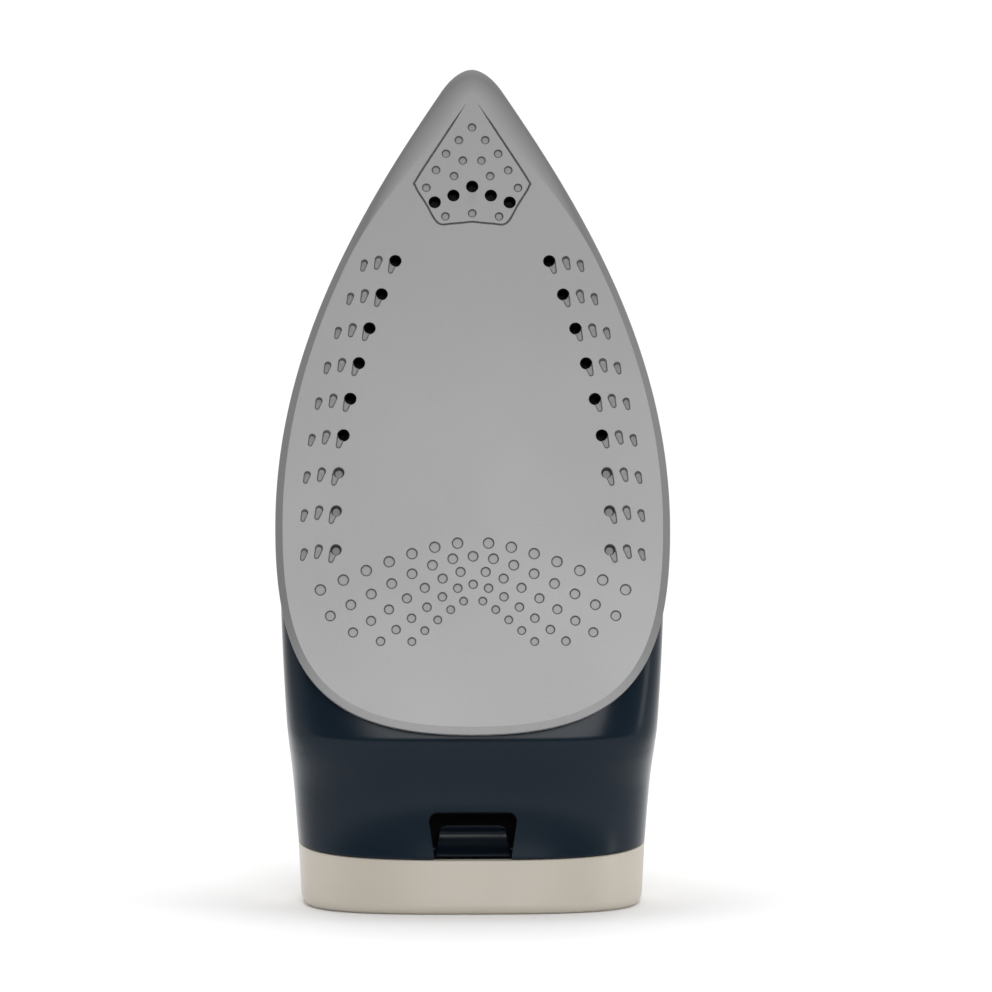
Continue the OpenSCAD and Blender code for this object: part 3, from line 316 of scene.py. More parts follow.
def thick_patch(name, outer, inner):
    """A closed skin between an outer and an inner grid of points."""
    m, n = outer.shape[:2]
    faces = grid_faces(m, n) + [f[::-1] for f in grid_faces(m, n, m * n)]
    rim = [(i, 0) for i in range(m)] + [(m - 1, j) for j in range(1, n)]
    rim += [(i, n - 1) for i in range(m - 2, -1, -1)] + [(0, j) for j in range(n - 2, 0, -1)]
    ids = [i * n + j for i, j in rim]
    faces += [
        (ids[k], ids[(k + 1) % len(ids)], ids[(k + 1) % len(ids)] + m * n, ids[k] + m * n)
        for k in range(len(ids))
    ]
    return shape(name, np.concatenate([outer.reshape(-1, 3), inner.reshape(-1, 3)]), faces)


def loft(name, rings):
    """A solid through closed rings of points. Its ends are fans round their middles."""
    m, n = len(rings), len(rings[0])
    points = np.concatenate([*rings, [rings[0].mean(axis=0)], [rings[-1].mean(axis=0)]])
    faces = [
        (i * n + j, i * n + (j + 1) % n, (i + 1) * n + (j + 1) % n, (i + 1) * n + j)
        for i in range(m - 1)
        for j in range(n)
    ]
    faces += [(m * n, (j + 1) % n, j) for j in range(n)]
    faces += [(m * n + 1, (m - 1) * n + j, (m - 1) * n + (j + 1) % n) for j in range(n)]
    return shape(name, points, faces)


def circle(r, n=48):
    a = np.arange(n) * 2 * math.pi / n
    return np.stack([r * np.cos(a), r * np.sin(a)], axis=1)


def rounded_rectangle(width, height, r, n=10):
    """The outline of a rectangle with round corners, as points."""
    a = np.linspace(0, math.pi / 2, n)
    corner = np.stack([np.cos(a), np.sin(a)], axis=1) * r
    middle = np.array([width / 2 - r, height / 2 - r])
    turn = np.array([[0, 1], [-1, 0]])
    points = []
    for k, (sx, sy) in enumerate([(1, 1), (-1, 1), (-1, -1), (1, -1)]):
        points.append(corner @ np.linalg.matrix_power(turn, k) + middle * (sx, sy))
    return np.concatenate(points)


def at_height(outline, z):
    return np.column_stack([outline, np.full(len(outline), z)])


def grown(outline, d):
    """An outline moved out along its own normals."""
    along = np.roll(outline, -1, axis=0) - np.roll(outline, 1, axis=0)
    along /= np.maximum(np.linalg.norm(along, axis=1), 1e-9)[:, None]
    return outline + d * np.column_stack([along[:, 1], -along[:, 0]])


def turned_solid(name, profile, n=48):
    """A solid of revolution round Z from (radius, height) points."""
    return loft(name, [at_height(circle(max(r, 1e-3), n), z) for r, z in profile])


def prism(name, outline, low, high):
    """A straight-sided solid between two heights."""
    return loft(name, [at_height(outline, low), at_height(outline, high)])


def soft_top(outline, top, soft, steps=5):
    """The rings that round the edge of a flat top."""
    a = np.linspace(0, math.pi / 2, steps + 1)
    return [at_height(grown(outline, -soft * (1 - math.cos(x))), top - soft * (1 - math.sin(x))) for x in a]


def raised(name, outline, low, high, soft=0.5, steps=4):
    """A slab with the given outline and a softly rounded top edge."""
    return loft(name, [at_height(outline, low), *soft_top(outline, high, soft, steps)])


def tube(name, path, r, sides=16):
    """A round tube along points, smoothed between them."""
    path = np.array(path, float)
    fine = np.linspace(0, len(path) - 1, 8 * (len(path) - 1) + 1)
    path = np.stack([evenly(*path[:, k])(fine) for k in range(3)], axis=1)
    rings = []
    for i, p in enumerate(path):
        t = Vector(path[min(i + 1, len(path) - 1)] - path[max(i - 1, 0)]).normalized()
        u = t.cross(Vector((1, 0, 0))).normalized()
        v = t.cross(u)
        rings.append(np.array([p + np.array(r * (c * u + s * v)) for c, s in circle(1, sides)]))
    return loft(name, rings)


def painted(thing, finishes, wall, flat=0):
    """Gives a solid's steep faces one of the finishes, and its flat faces another, by their numbers."""
    thing.data.materials.clear()
    for finish in finishes:
        thing.data.materials.append(finish)
    for polygon in thing.data.polygons:
        polygon.material_index = wall if abs(polygon.normal.z) < STEEP_BELOW else flat
    return thing


def moved(thing, matrix):
    thing.data.transform(matrix)
    return thing


def joined(name, things):
    """One object from several, each left as a shell of its own."""
    points, faces, start = [], [], 0
    for thing in things:
        points += [tuple(v.co) for v in thing.data.vertices]
        faces += [tuple(start + v for v in p.vertices) for p in thing.data.polygons]
        start = len(points)
        bpy.data.objects.remove(thing)
    mesh = bpy.data.meshes.new(name)
    mesh.from_pydata(points, [], faces)
    return linked(name, mesh)


def cut(thing, *cutters, operation="DIFFERENCE"):
    """Takes the cutters away from a solid, or adds them to it."""
    for cutter in cutters:
        step = thing.modifiers.new("cut", "BOOLEAN")
        step.object = cutter
        step.operation = operation
        step.solver = "MANIFOLD"
        mesh = bpy.data.meshes.new_from_object(thing.evaluated_get(bpy.context.evaluated_depsgraph_get()))
        thing.modifiers.clear()
        thing.data = mesh
        bpy.data.objects.remove(cutter)
    return thing


def piece(thing, body, slot, *replaced, smooth=35, weighted=False):
    """Stands a finished shape in the frame, on its body, with its material."""
    thing.data.transform(STAND)
    thing.data.shade_smooth()
    thing.data.set_sharp_from_angle(angle=math.radians(smooth))
    if weighted:
        step = thing.modifiers.new("flat faces stay flat", "WEIGHTED_NORMAL")
        step.keep_sharp = True
        step.weight = 90
    if MATERIALS[slot] not in list(thing.data.materials):
        thing.data.materials.clear()
        thing.data.materials.append(MATERIALS[slot])
    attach(thing, body)
    if replaced:
        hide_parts(*replaced)
    return thing


# ---- materials ----


class Finish:
    """A procedural material: one shader with textures that vary its colour, roughness and bumps."""

    def __init__(self, name, color, roughness, metallic=0.0, **fixed):
        self.material = bpy.data.materials.new(name)
        self.material.use_nodes = True
        self.nodes = self.material.node_tree.nodes
        self.links = self.material.node_tree.links
        self.shader = self.nodes["Principled BSDF"]
        self.shader.inputs["Base Color"].default_value = (*color, 1)
        self.shader.inputs["Roughness"].default_value = roughness
        self.shader.inputs["Metallic"].default_value = metallic
        for key, value in fixed.items():
            self.shader.inputs[key.replace("_", " ")].default_value = value
        self.place = self.nodes.new("ShaderNodeTexCoord").outputs["Object"]
        self.height = None

    def noise(self, scale, detail=3.0, stretch=(1, 1, 1), kind="ShaderNodeTexNoise"):
        """A texture of cells per metre, stretched along each axis. Gives its grey output."""
        mapping = self.nodes.new("ShaderNodeMapping")
        mapping.inputs["Scale"].default_value = stretch
        self.links.new(self.place, mapping.inputs["Vector"])
        texture = self.nodes.new(kind)
        texture.inputs["Scale"].default_value = scale
        self.links.new(mapping.outputs["Vector"], texture.inputs["Vector"])
        if kind == "ShaderNodeTexVoronoi":
            return texture.outputs["Distance"]
        texture.inputs["Detail"].default_value = detail
        return texture.outputs["Fac"]

    def facing(self, direction):
        """How far a surface faces a direction, from -1 to 1."""
        node = self.nodes.new("ShaderNodeVectorMath")
        node.operation = "DOT_PRODUCT"
        node.inputs[1].default_value = direction
        self.links.new(self.nodes.new("ShaderNodeTexCoord").outputs["Normal"], node.inputs[0])
        return node.outputs["Value"]

    def ranged(self, value, low, high, to_low=0.0, to_high=1.0):
        node = self.nodes.new("ShaderNodeMapRange")
        for key, number in zip(("From Min", "From Max", "To Min", "To Max"), (low, high, to_low, to_high)):
            node.inputs[key].default_value = number
        self.links.new(value, node.inputs["Value"])
        return node.outputs["Result"]

    def tint(self, factor, color):
        """Mixes a colour over what is there, by a factor."""
        mix = self.nodes.new("ShaderNodeMix")
        mix.data_type = "RGBA"
        base = self.shader.inputs["Base Color"]
        if base.links:
            self.links.new(base.links[0].from_socket, mix.inputs["A"])
        else:
            mix.inputs["A"].default_value = base.default_value
        mix.inputs["B"].default_value = (*color, 1)
        self.links.new(factor, mix.inputs["Factor"])
        self.links.new(mix.outputs["Result"], base)
        return self

    def rough(self, value, low, high):
        self.links.new(self.ranged(value, 0.3, 0.7, low, high), self.shader.inputs["Roughness"])
        return self

    def bump(self, value, distance, strength=1.0):
        node = self.nodes.new("ShaderNodeBump")
        node.inputs["Distance"].default_value = distance
        node.inputs["Strength"].default_value = strength
        self.links.new(value, node.inputs["Height"])
        if self.height is not None:
            self.links.new(self.height, node.inputs["Normal"])
        self.height = node.outputs["Normal"]
        self.links.new(self.height, self.shader.inputs["Normal"])
        return self


def shaded(color, k):
    return tuple(min(c * k, 1) for c in color)


# The direction a face must point to escape the painted shade on the sole's bevel.
UNSHADED_FACING = (0, -0.999, -0.05)


def sole_coating():
    """Grey ceramic: a fine sparkle, soft cloudiness, polishing marks along the plate, and painted shade on
    the bevel and the nose roll, darker as a face turns away from the front.
    """
    grey = (0.365, 0.364, 0.369)
    finish = Finish("sole_coating", grey, 0.42, 0.0, Coat_Weight=0.15, Coat_Roughness=0.3)
    cloud = finish.noise(18, 4)
    grain = finish.noise(4200, 2)
    marks = finish.noise(700, 3, (1, 1, 0.03))
    finish.tint(finish.ranged(cloud, 0.3, 0.7, 0, 0.25), shaded(grey, 0.9))
    finish.tint(finish.ranged(grain, 0.62, 0.72, 0, 0.5), shaded(grey, 1.35))
    finish.tint(finish.ranged(grain, 0.36, 0.28, 0, 0.4), shaded(grey, 0.7))
    # Painted shade: faces turned from the front, the bevel and the rolled nose, are darkened towards 0.42
    # of the grey.
    finish.tint(finish.ranged(finish.facing(UNSHADED_FACING), 0.975, 0.86, 0, 0.9), shaded(grey, 0.42))
    finish.rough(cloud, 0.38, 0.48)
    return finish.bump(grain, 0.00002, 0.35).bump(marks, 0.00002, 0.15).material


def sole_recess_shade():
    """The steep walls of the dimples, drops and grooves: a dark grey that is painted shade, with a lighter
    mottle.
    """
    finish = Finish("sole_recess_shade", (0.09, 0.09, 0.092), 0.7, Specular_IOR_Level=0.2)
    wall_mottle = finish.noise(1800, 3)
    finish.tint(finish.ranged(wall_mottle, 0.4, 0.7, 0, 0.6), (0.2, 0.2, 0.2))
    return finish.bump(wall_mottle, 0.00003, 0.4).material


def bore_and_gap_shade():
    """Near-black painted shade for the walls of the steam passages, the gap under the sole's edge and the
    latch's pocket, with a little scale.
    """
    finish = Finish("bore_and_gap_shade", (0.002, 0.002, 0.002), 0.9, Specular_IOR_Level=0.1)
    scale = finish.noise(2500, 3)
    finish.tint(finish.ranged(scale, 0.6, 0.8, 0, 0.4), (0.008, 0.007, 0.006))
    return finish.bump(scale, 0.00005).material


def moulded(name, color, roughness, grain=900, depth=0.00002, **fixed):
    """Moulded plastic: slight colour drift, uneven gloss and a fine skin."""
    finish = Finish(name, color, roughness, **fixed)
    drift = finish.noise(25, 3)
    skin = finish.noise(grain, 3)
    finish.tint(finish.ranged(drift, 0.3, 0.7, 0, 0.35), shaded(color, 0.88))
    finish.rough(drift, roughness * 0.85, roughness * 1.15)
    return finish.bump(skin, depth, 0.4).material


def spark_eroded(name, color, roughness, grain=2600, depth=0.00008, **fixed):
    """Plastic with the fine leathery texture of an etched mould."""
    finish = Finish(name, color, roughness, **fixed)
    cells = finish.noise(grain, kind="ShaderNodeTexVoronoi")
    drift = finish.noise(30, 3)
    finish.tint(finish.ranged(cells, 0.1, 0.6, 0, 0.5), shaded(color, 1.3))
    finish.rough(drift, roughness * 0.9, min(roughness * 1.1, 1))
    return finish.bump(cells, depth, 0.6).material


def metal(name, color, roughness, stretch=(1, 1, 1), grain=1500, depth=0.00003, stain=None, **fixed):
    """Metal with a directional or cast grain, and staining where it has been hot."""
    finish = Finish(name, color, roughness, 1.0, **fixed)
    lines = finish.noise(grain, 3, stretch)
    cloud = finish.noise(40, 4)
    finish.tint(finish.ranged(cloud, 0.35, 0.7, 0, 0.5), stain or shaded(color, 0.75))
    finish.rough(lines, roughness * 0.75, min(roughness * 1.3, 1))
    return finish.bump(lines, depth, 0.5).material


def clear(name, color, roughness, weight, **fixed):
    """Clear tinted plastic or glass, with faint flow marks from the mould."""
    finish = Finish(name, color, roughness, Transmission_Weight=weight, IOR=1.49, **fixed)
    flow = finish.noise(35, 2, (1, 1, 0.3))
    finish.tint(finish.ranged(flow, 0.3, 0.7, 0, 0.3), shaded(color, 0.85))
    finish.rough(flow, roughness, roughness * 2)
    return finish.bump(flow, 0.0001, 0.15).material


GLOSS = {"grain": 420, "depth": 0.00001}
PLAIN_MATERIALS = [
    (metal, "cast_alloy", (0.03, 0.029, 0.028), 0.7, {"stain": (0.012, 0.01, 0.009), "depth": 0.0001}),
    (metal, "sheet_steel", (0.55, 0.55, 0.56), 0.3, {"stretch": (1, 0.04, 0.04)}),
    (metal, "element_sheath", (0.2, 0.17, 0.15), 0.5, {"stain": (0.1, 0.07, 0.08)}),
    (metal, "screw_steel", (0.6, 0.61, 0.62), 0.28, {"stretch": (1, 1, 0.1)}),
    (metal, "brass", (0.72, 0.5, 0.2), 0.25, {"stretch": (1, 0.1, 1)}),
    (metal, "silver_trim", (0.62, 0.63, 0.64), 0.22, {"stretch": (1, 1, 0.1)}),
    (metal, "spring_steel", (0.55, 0.56, 0.57), 0.25, {}),
    (moulded, "red_silicone", (0.42, 0.06, 0.04), 0.5, {}),
    (moulded, "black_silicone", (0.012, 0.012, 0.012), 0.6, {}),
    (moulded, "navy_gloss", (0.008, 0.0155, 0.025), 0.2, {**GLOSS, "Specular_IOR_Level": 0.16}),
    (moulded, "black_gloss", (0.003, 0.006, 0.01), 0.22, {**GLOSS, "Specular_IOR_Level": 0.12}),
    (moulded, "cream", (0.53, 0.487, 0.42), 0.36, {"grain": 1300}),
    (moulded, "white_nylon", (0.68, 0.68, 0.66), 0.5, {}),
    (moulded, "red_wire", (0.4, 0.03, 0.02), 0.45, {}),
    (spark_eroded, "steatite", (0.62, 0.57, 0.48), 0.7, {}),
    (spark_eroded, "dark_grip", (0.014, 0.02, 0.027), 0.62, {}),
    (spark_eroded, "dark_control", (0.016, 0.02, 0.026), 0.5, {}),
    (spark_eroded, "foot_rubber", (0.02, 0.02, 0.022), 0.8, {}),
    (clear, "smoke_tank", (0.16, 0.25, 0.33), 0.05, {"weight": 0.85}),
    (clear, "clear_tube", (0.8, 0.84, 0.86), 0.25, {"weight": 0.6}),
    (clear, "amber_lens", (0.9, 0.36, 0.03), 0.08, {"weight": 0.8}),
    (clear, "lamp_glass", (0.95, 0.9, 0.85), 0.02, {"weight": 0.9}),
]
MATERIALS = {name: kind(name, color, rough, **fixed) for kind, name, color, rough, fixed in PLAIN_MATERIALS}
MATERIALS["sole_coating"] = sole_coating()

# A solid with several finishes names them by these numbers.
SOLE_FINISHES = (MATERIALS["sole_coating"], sole_recess_shade(), bore_and_gap_shade())
COATING, RECESS, BORE = range(3)
SKIRT_FINISHES = (MATERIALS["navy_gloss"], SOLE_FINISHES[BORE])
SKIN, SHADE = range(2)


def dress_cad_nodes():
    """Gives every CAD node that stays its own procedural material. The latch's pin gets black gloss as
    painted shade, so that its ends sink into the dark of the latch's recess.
    """
    slots = {part["node"]: part["material_slot"] for part in frame["record"]["subparts"]}
    slots["latch_pin"] = "black_gloss"
    for name, node in frame["nodes"].items():
        node.data.materials.clear()
        node.data.materials.append(MATERIALS[slots[name]])
        node.data.shade_smooth()
        node.data.set_sharp_from_angle(angle=math.radians(30))


# ---- soleplate ----

BLIND_HOLES = 3
SIDE_HOLES = 9
HOLE_R = 1.62
TIP_HOLES = [(0, 38.6), (5.8, 41.5), (-5.8, 41.5), (11.6, 43.7), (-11.6, 43.7)]
TIP_DIMPLES = [
    *[(0, 19.5), (4.1, 23.6), (8.1, 28), (2.9, 30.2), (11.2, 33.3)],
    *[(5.6, 35.2), (14.2, 39), (8.3, 48.2), (0, 47.2)],
]
ARC_COUNT = [7, 8, 7, 7, 5]
DROPS = [(0.8, 0.8, 1.2), (5.1, -0.4, 1.2), (9.5, 0.6, 1.05)]
BEVEL_STEPS = (0.15, 0.3, 0.45, 0.6, 0.72, 0.82, 0.9, 0.96, 1.0)


def side_hole(i):
    """Half distance apart, and distance from the tip, of the steam holes in row i."""
    t = 62.5 + 10.5 * i + 0.1 * i * i
    return 41.6 - 0.0025 * (147 - t) ** 2, t


def arc_dimples():
    """The five bowed rows of dimples at the rear: x, distance from the tip, and radius."""
    rows = []
    for k, count in enumerate(ARC_COUNT):
        for i in range(count):
            x = (4.7 - 0.45 * k if k % 2 == 0 else 0) + (6.9 - 0.75 * k) * i
            a = 9.5 - 1.5 * k
            t = 150.6 + 4.3 * k + math.hypot(a, (0.48 + 0.1 * k) * x) - a
            rows.append((x, t, 1.7 - 0.1 * k))
    return rows


def both_sides(x, t, *rest):
    return [(side * x, TIP_Y - t, *rest) for side in ((1,) if x == 0 else (1, -1))]


def hole_cutter(x, y, r, depth, floor_r):
    """A drilled hole with a softly broken edge."""
    edge = [(r + 0.55, -0.4), (r + 0.3, 0), (r + 0.12, 0.07), (r + 0.03, 0.18), (r, 0.35)]
    profile = [*edge, (floor_r, depth)]
    return moved(turned_solid("hole", profile, 40), shift(x, y, 0))


def dimple_cutter(x, y, r):
    """A round dimple with a steep wall and a flat floor."""
    profile = [(r + 0.3, -0.4), (r + 0.08, 0), (r, 0.06), (r - 0.22, 0.42), (r - 0.34, 0.5), (r - 0.6, 0.5)]
    return moved(turned_solid("dimple", profile, 32), shift(x, y, 0))


def drop_outline(head_r, tail_r, tail, n=40):
    """Two circles, the head at the origin and a smaller tail, with the skin stretched round both."""
    a = np.arange(n) * 2 * math.pi / n
    way = np.stack([np.cos(a), np.sin(a)], axis=1)
    on_tail = way @ np.array(tail) + tail_r > head_r
    return np.where(on_tail[:, None], np.array(tail) + tail_r * way, head_r * way)


def drop_cutter(x, y, r, side, depth=0.6):
    """A shallow drop-shaped groove: steep under its head, rising towards its tail."""
    tail = np.array([side * 0.55 * r, -2.0 * r])
    outline = drop_outline(r, 0.68 * r, tail)
    rings = []
    for k, z in ((1.16, -0.4), (1.04, 0), (0.99, 0.08), (0.84, 0.8), (0.72, 1), (0.4, 1)):
        ring = tail / 2 + (outline - tail / 2) * k
        rise = 0.45 + 0.55 * smoothstep(-2.6 * r, 0.6 * r, ring[:, 1])
        rings.append(np.column_stack([ring, z * depth * rise if z > 0.1 else np.full(len(ring), z)]))
    return moved(loft("drop", rings), shift(x, y, 0))


def tip_panel_outline():
    """The shield round the tip's holes, open at its top, as a closed line on one side."""
    corner = evenly(2, 9.6, 17.2, 17.6, 14.2, 10.6, 6, 0)
    down = evenly(12, 24, 36.2, 38.6, 44.4, 50.3, 50.5, 49.9)
    v = np.linspace(0, 7, 90)
    return np.stack([corner(v), TIP_Y - down(v)], axis=1)


def panel_groove():
    """The fine groove that draws the shield: a ribbon cutter along its line."""
    right = tip_panel_outline()
    line = np.concatenate([right, right[-2::-1] * (-1, 1)])
    along = np.gradient(line, axis=0)
    along /= np.linalg.norm(along, axis=1)[:, None]
    normal = np.column_stack([along[:, 1], -along[:, 0]])
    from_end = np.minimum(np.arange(len(line)), np.arange(len(line))[::-1])
    width = 0.32 * smoothstep(-1, 8, from_end)[:, None] + 0.02
    section = [(1.5, -0.4), (1, 0.0), (0.3, 0.2), (-0.3, 0.2), (-1, 0.0), (-1.5, -0.4)]
    rings = [np.array([(*(p + n * w * k), z) for k, z in section]) for p, n, w in zip(line, normal, width)]
    return loft("groove", rings)


def sole_blank():
    """The plate with its bevel, which widens to a rolled nose, before anything is cut into it."""
    t = SOLE_OUTLINE[:, 1]
    wide = 2.3 + 6.4 * (1 - smoothstep(0, 62, t))
    drop = 1.15 + 0.55 * (1 - smoothstep(0, 40, t))
    roll = 1 - smoothstep(8, 80, t)
    rings = [sole_ring(0.7, SOLE_T), sole_ring(0.2, SOLE_T - 0.2), sole_ring(0, SOLE_T - 0.7)]
    rings += [sole_ring(0, drop + 0.35), sole_ring(0.08, drop + 0.12), sole_ring(0.28, drop)]
    for k in BEVEL_STEPS:
        slope = (1 - k) * (1 - roll) + (1 - k) ** 2 * roll
        rings.append(sole_ring(0.28 + (wide - 0.28) * k, drop * slope))
    rings.append(sole_ring(wide + 0.35, 0))
    return painted(loft("soleplate_skin", rings), SOLE_FINISHES, COATING)


def side_holes(rows, depth, floor_r):
    """The holes of some rows, on both sides."""
    places = [both_sides(*side_hole(i)) for i in rows]
    return [hole_cutter(x, y, HOLE_R, depth, floor_r) for pair in places for x, y in pair]


def drop_cutters():
    """Three drops outside each side hole."""
    drops = []
    for i in range(SIDE_HOLES):
        x, t = side_hole(i)
        for side in (1, -1):
            drops += [drop_cutter(side * (x + out), TIP_Y - t - back, r, side) for out, back, r in DROPS]
    return drops


def make_soleplate():
    open_rows = SIDE_HOLES - BLIND_HOLES
    drilled = side_holes(range(open_rows), 8, HOLE_R)
    drilled += [hole_cutter(x, TIP_Y - t, HOLE_R, 8, HOLE_R) for x, t in TIP_HOLES]
    blind = side_holes(range(open_rows, SIDE_HOLES), 2.6, 1.15)
    dimples = [dimple_cutter(x, y, 1.3) for d in TIP_DIMPLES for x, y in both_sides(*d)]
    dimples += [dimple_cutter(x, y, r) for d in arc_dimples() for x, y, r in both_sides(*d)]
    plate = sole_blank()
    # Painted shade: the steep walls of the drops, dimples, blind holes and the panel's groove take the dark
    # recess finish, and the drilled holes the near-black one.
    cut(plate, painted(joined("drops", drop_cutters()), SOLE_FINISHES, RECESS))
    cut(plate, painted(joined("dimples", dimples), SOLE_FINISHES, RECESS))
    cut(plate, painted(joined("drilled", drilled), SOLE_FINISHES, BORE, BORE))
    cut(plate, painted(joined("blind", blind), SOLE_FINISHES, RECESS))
    cut(plate, painted(panel_groove(), SOLE_FINISHES, RECESS, RECESS))
    return piece(plate, "base", "sole_coating", "soleplate", smooth=28, weighted=True)


# ---- skirt, latch and heel cover ----

LATCH_W = 26.7
LATCH_SEAM_W = 23.7
LATCH_Y = (20.9, 34.7)
LATCH_TOP_Z = 26.5
EDGE_R = 0.45
ALONG_X = Matrix.Rotation(math.pi / 2, 4, "Y")


def rounding(reach, depth):
    """The quarter turn of an edge: [(distance from its end, inset), ...]."""
    a = np.linspace(0, math.pi / 2, 5)[:-1]
    return [(reach * (1 - math.cos(x)), depth * (1 - math.sin(x))) for x in a]


def eased(start, end, count, edge=EDGE_R, ease_end=True):
    """Places from start to end, with the inset that rounds each edge: [(place, inset), ...]."""
    turn = rounding(edge, edge)
    first = [(start + d, inset) for d, inset in turn]
    last = [(end - d, inset) for d, inset in turn[::-1]] if ease_end else []
    high = end - edge if ease_end else end
    return first + [(v, 0.0) for v in np.linspace(start + edge, high, count)] + last


def body_rows(stations, low_angle, high_angle, steps, extra=0.0):
    """A grid over the body: from high_angle on the right, through low_angle, to high_angle on the left."""
    edge = 0.02
    side = [(1 - d, inset) for d, inset in rounding(edge, EDGE_R)]
    column = side + [(v, 0.0) for v in np.linspace(0, 1, steps)[::-1] * (1 - edge)]
    sides = [(v, e, 1) for v, e in column] + [(v, e, -1) for v, e in column[-2::-1]]
    rows = []
    for q, ease in stations:
        low, high = low_angle(q), high_angle(q)
        v = np.array([c[0] for c in sides])
        inset = np.array([max(c[1], ease) for c in sides]) + extra
        sign = np.array([c[2] for c in sides])
        rows.append(body_point(np.full(len(v), q), low + (high - low) * v, sign, inset))
    return np.array(rows)


def nose_stations(start):
    """Stations from start to the tip, closer together towards it."""
    t = np.concatenate([np.linspace(TIP_Y - start, 40, 36), np.linspace(39, 0.7, 30)])
    return [(TIP_Y - v, 0.0) for v in t]


def latch_pocket_outline():
    """The latch's recess: straight sides that spread away from the seam, and round corners."""
    half_top, half_seam, r = LATCH_W / 2, LATCH_SEAM_W / 2, 2.6
    a = np.linspace(0, math.pi / 2, 9)
    corner = np.stack([half_top - r + r * np.cos(a), LATCH_Y[1] - r + r * np.sin(a)], axis=1)
    right = np.concatenate([[(half_seam - 0.9, LATCH_Y[0] - 5)], corner])
    return np.concatenate([right, right[::-1] * (-1, 1)])


def skirt_rim():
    """The wall inside the skirt, round the edge of the sole's opening."""
    rim = loft("rim_out", [sole_ring(3.2, SOLE_T + 1), sole_ring(3.2, SOLE_T + 7)])
    return cut(rim, loft("rim_in", [sole_ring(6.2, SOLE_T - 2), sole_ring(6.2, SOLE_T + 12)]))


def make_skirt():
    stations = eased(SEAM_Q + GAP, 100, 110, ease_end=False)[:-1] + nose_stations(100)
    under, top = (lambda q: -90.0), (lambda q: float(angle_at(q, split_z(q) - GAP / 2)))
    outer = body_rows(stations, under, top, 70)
    inner = body_rows([(q, 0.0) for q, _ in stations], under, top, 70, WALL)
    shell = painted(thick_patch("skirt_skin", outer, inner), SKIRT_FINISHES, SKIN)
    outline = latch_pocket_outline()
    box = prism("block", grown(outline, 1.8), 19.9, LATCH_TOP_Z + 1.6)
    cut(box, block((80, LATCH_Y[0] + 5.3, 30), (-40, -5, 5)))
    # The rim under the sole's edge, the opening's walls and the latch's pocket take the near-black finish:
    # a painted shadow gap and painted shade.
    cut(shell, painted(skirt_rim(), SKIRT_FINISHES, SHADE, SHADE), operation="UNION")
    cut(shell, painted(box, SKIRT_FINISHES, SKIN), operation="UNION")
    opening = loft("opening", [sole_ring(6.2, -1), sole_ring(6.2, 11)])
    cut(shell, painted(opening, SKIRT_FINISHES, SHADE))
    cut(shell, painted(prism("pocket", outline, 5, LATCH_TOP_Z), SKIRT_FINISHES, SHADE, SHADE))
    return piece(shell, "base", "navy_gloss", "skirt", smooth=30, weighted=True)


def make_latch():
    """A spoon-shaped press tab: a ridge on top, a dished face, and a lip at the seam."""
    lip = [(21.4, 20.0), (22.0, 19.6), (23.2, 20.3), (24.6, 21.3)]
    face = keyed([*lip, (26.6, 22.2), (29, 22.4), (30.4, 21.2), (31.2, 20.6)])
    rows, backs = [], []
    for y, ease in eased(21.4, 31.2, 40, 0.5):
        half = 11.4 - 0.17 * (y - 21.4) - 1.6 * smoothstep(30, 31.2, y) ** 2
        x = np.array([(half + 0.5) * v for v in np.linspace(-1, 1, 41)])
        side = np.clip((np.abs(x) - half + 0.4) / 0.9, 0, 1)
        dish = 0.35 * (1 - (x / half) ** 2) * smoothstep(22, 25, y) * (1 - smoothstep(29, 31, y))
        z = face(y) + dish + ease + 0.9 * (1 - np.sqrt(1 - side**2 * 0.98))
        rows.append(np.stack([x, np.full_like(x, y), z], axis=1))
        backs.append(np.stack([x, np.full_like(x, y), np.full_like(x, 24.6)], axis=1))
    tab = thick_patch("latch_tab", np.array(rows), np.array(backs))
    pin_hole = turned_solid("bore", [(0.95, -20), (0.95, 20)], 24)
    cut(tab, moved(pin_hole, shift(0, 24, 23.4) @ ALONG_X))
    return piece(tab, "latch", "black_gloss", "heel_latch", smooth=40)


GLAND_AT = (40, 115)
GLAND_TILT = 52
GLAND_TO_FLAT = 9
GLAND_NECK_R = 5.6
GLAND_SLOT = 22
HEEL_SCREWS = [(0, -38), (0, 10)]
FOOT_X = 30


def in_gland_frame():
    return turned(*GLAND_AT, GLAND_TILT)


def on_heel_face():
    """+Z goes into the iron, +Y towards the handle, from the middle of the resting face."""
    face = turned(HEEL_CENTRE_Z * math.tan(LEAN), HEEL_CENTRE_Z, 90 - math.degrees(LEAN))
    return face @ Matrix.Scale(-1, 4, (0, 0, 1))


def block(size, place):
    """A box-shaped cutter, from its low corner."""
    outline = np.array([(0, 0), (size[0], 0), (size[0], size[1]), (0, size[1])]) + np.array(place[:2])
    return prism("block", outline, place[2], place[2] + size[2])


def behind_cord_flat(inset):
    return moved(block((100, 100, 100), (-50, -50, GLAND_TO_FLAT - inset)), in_gland_frame())


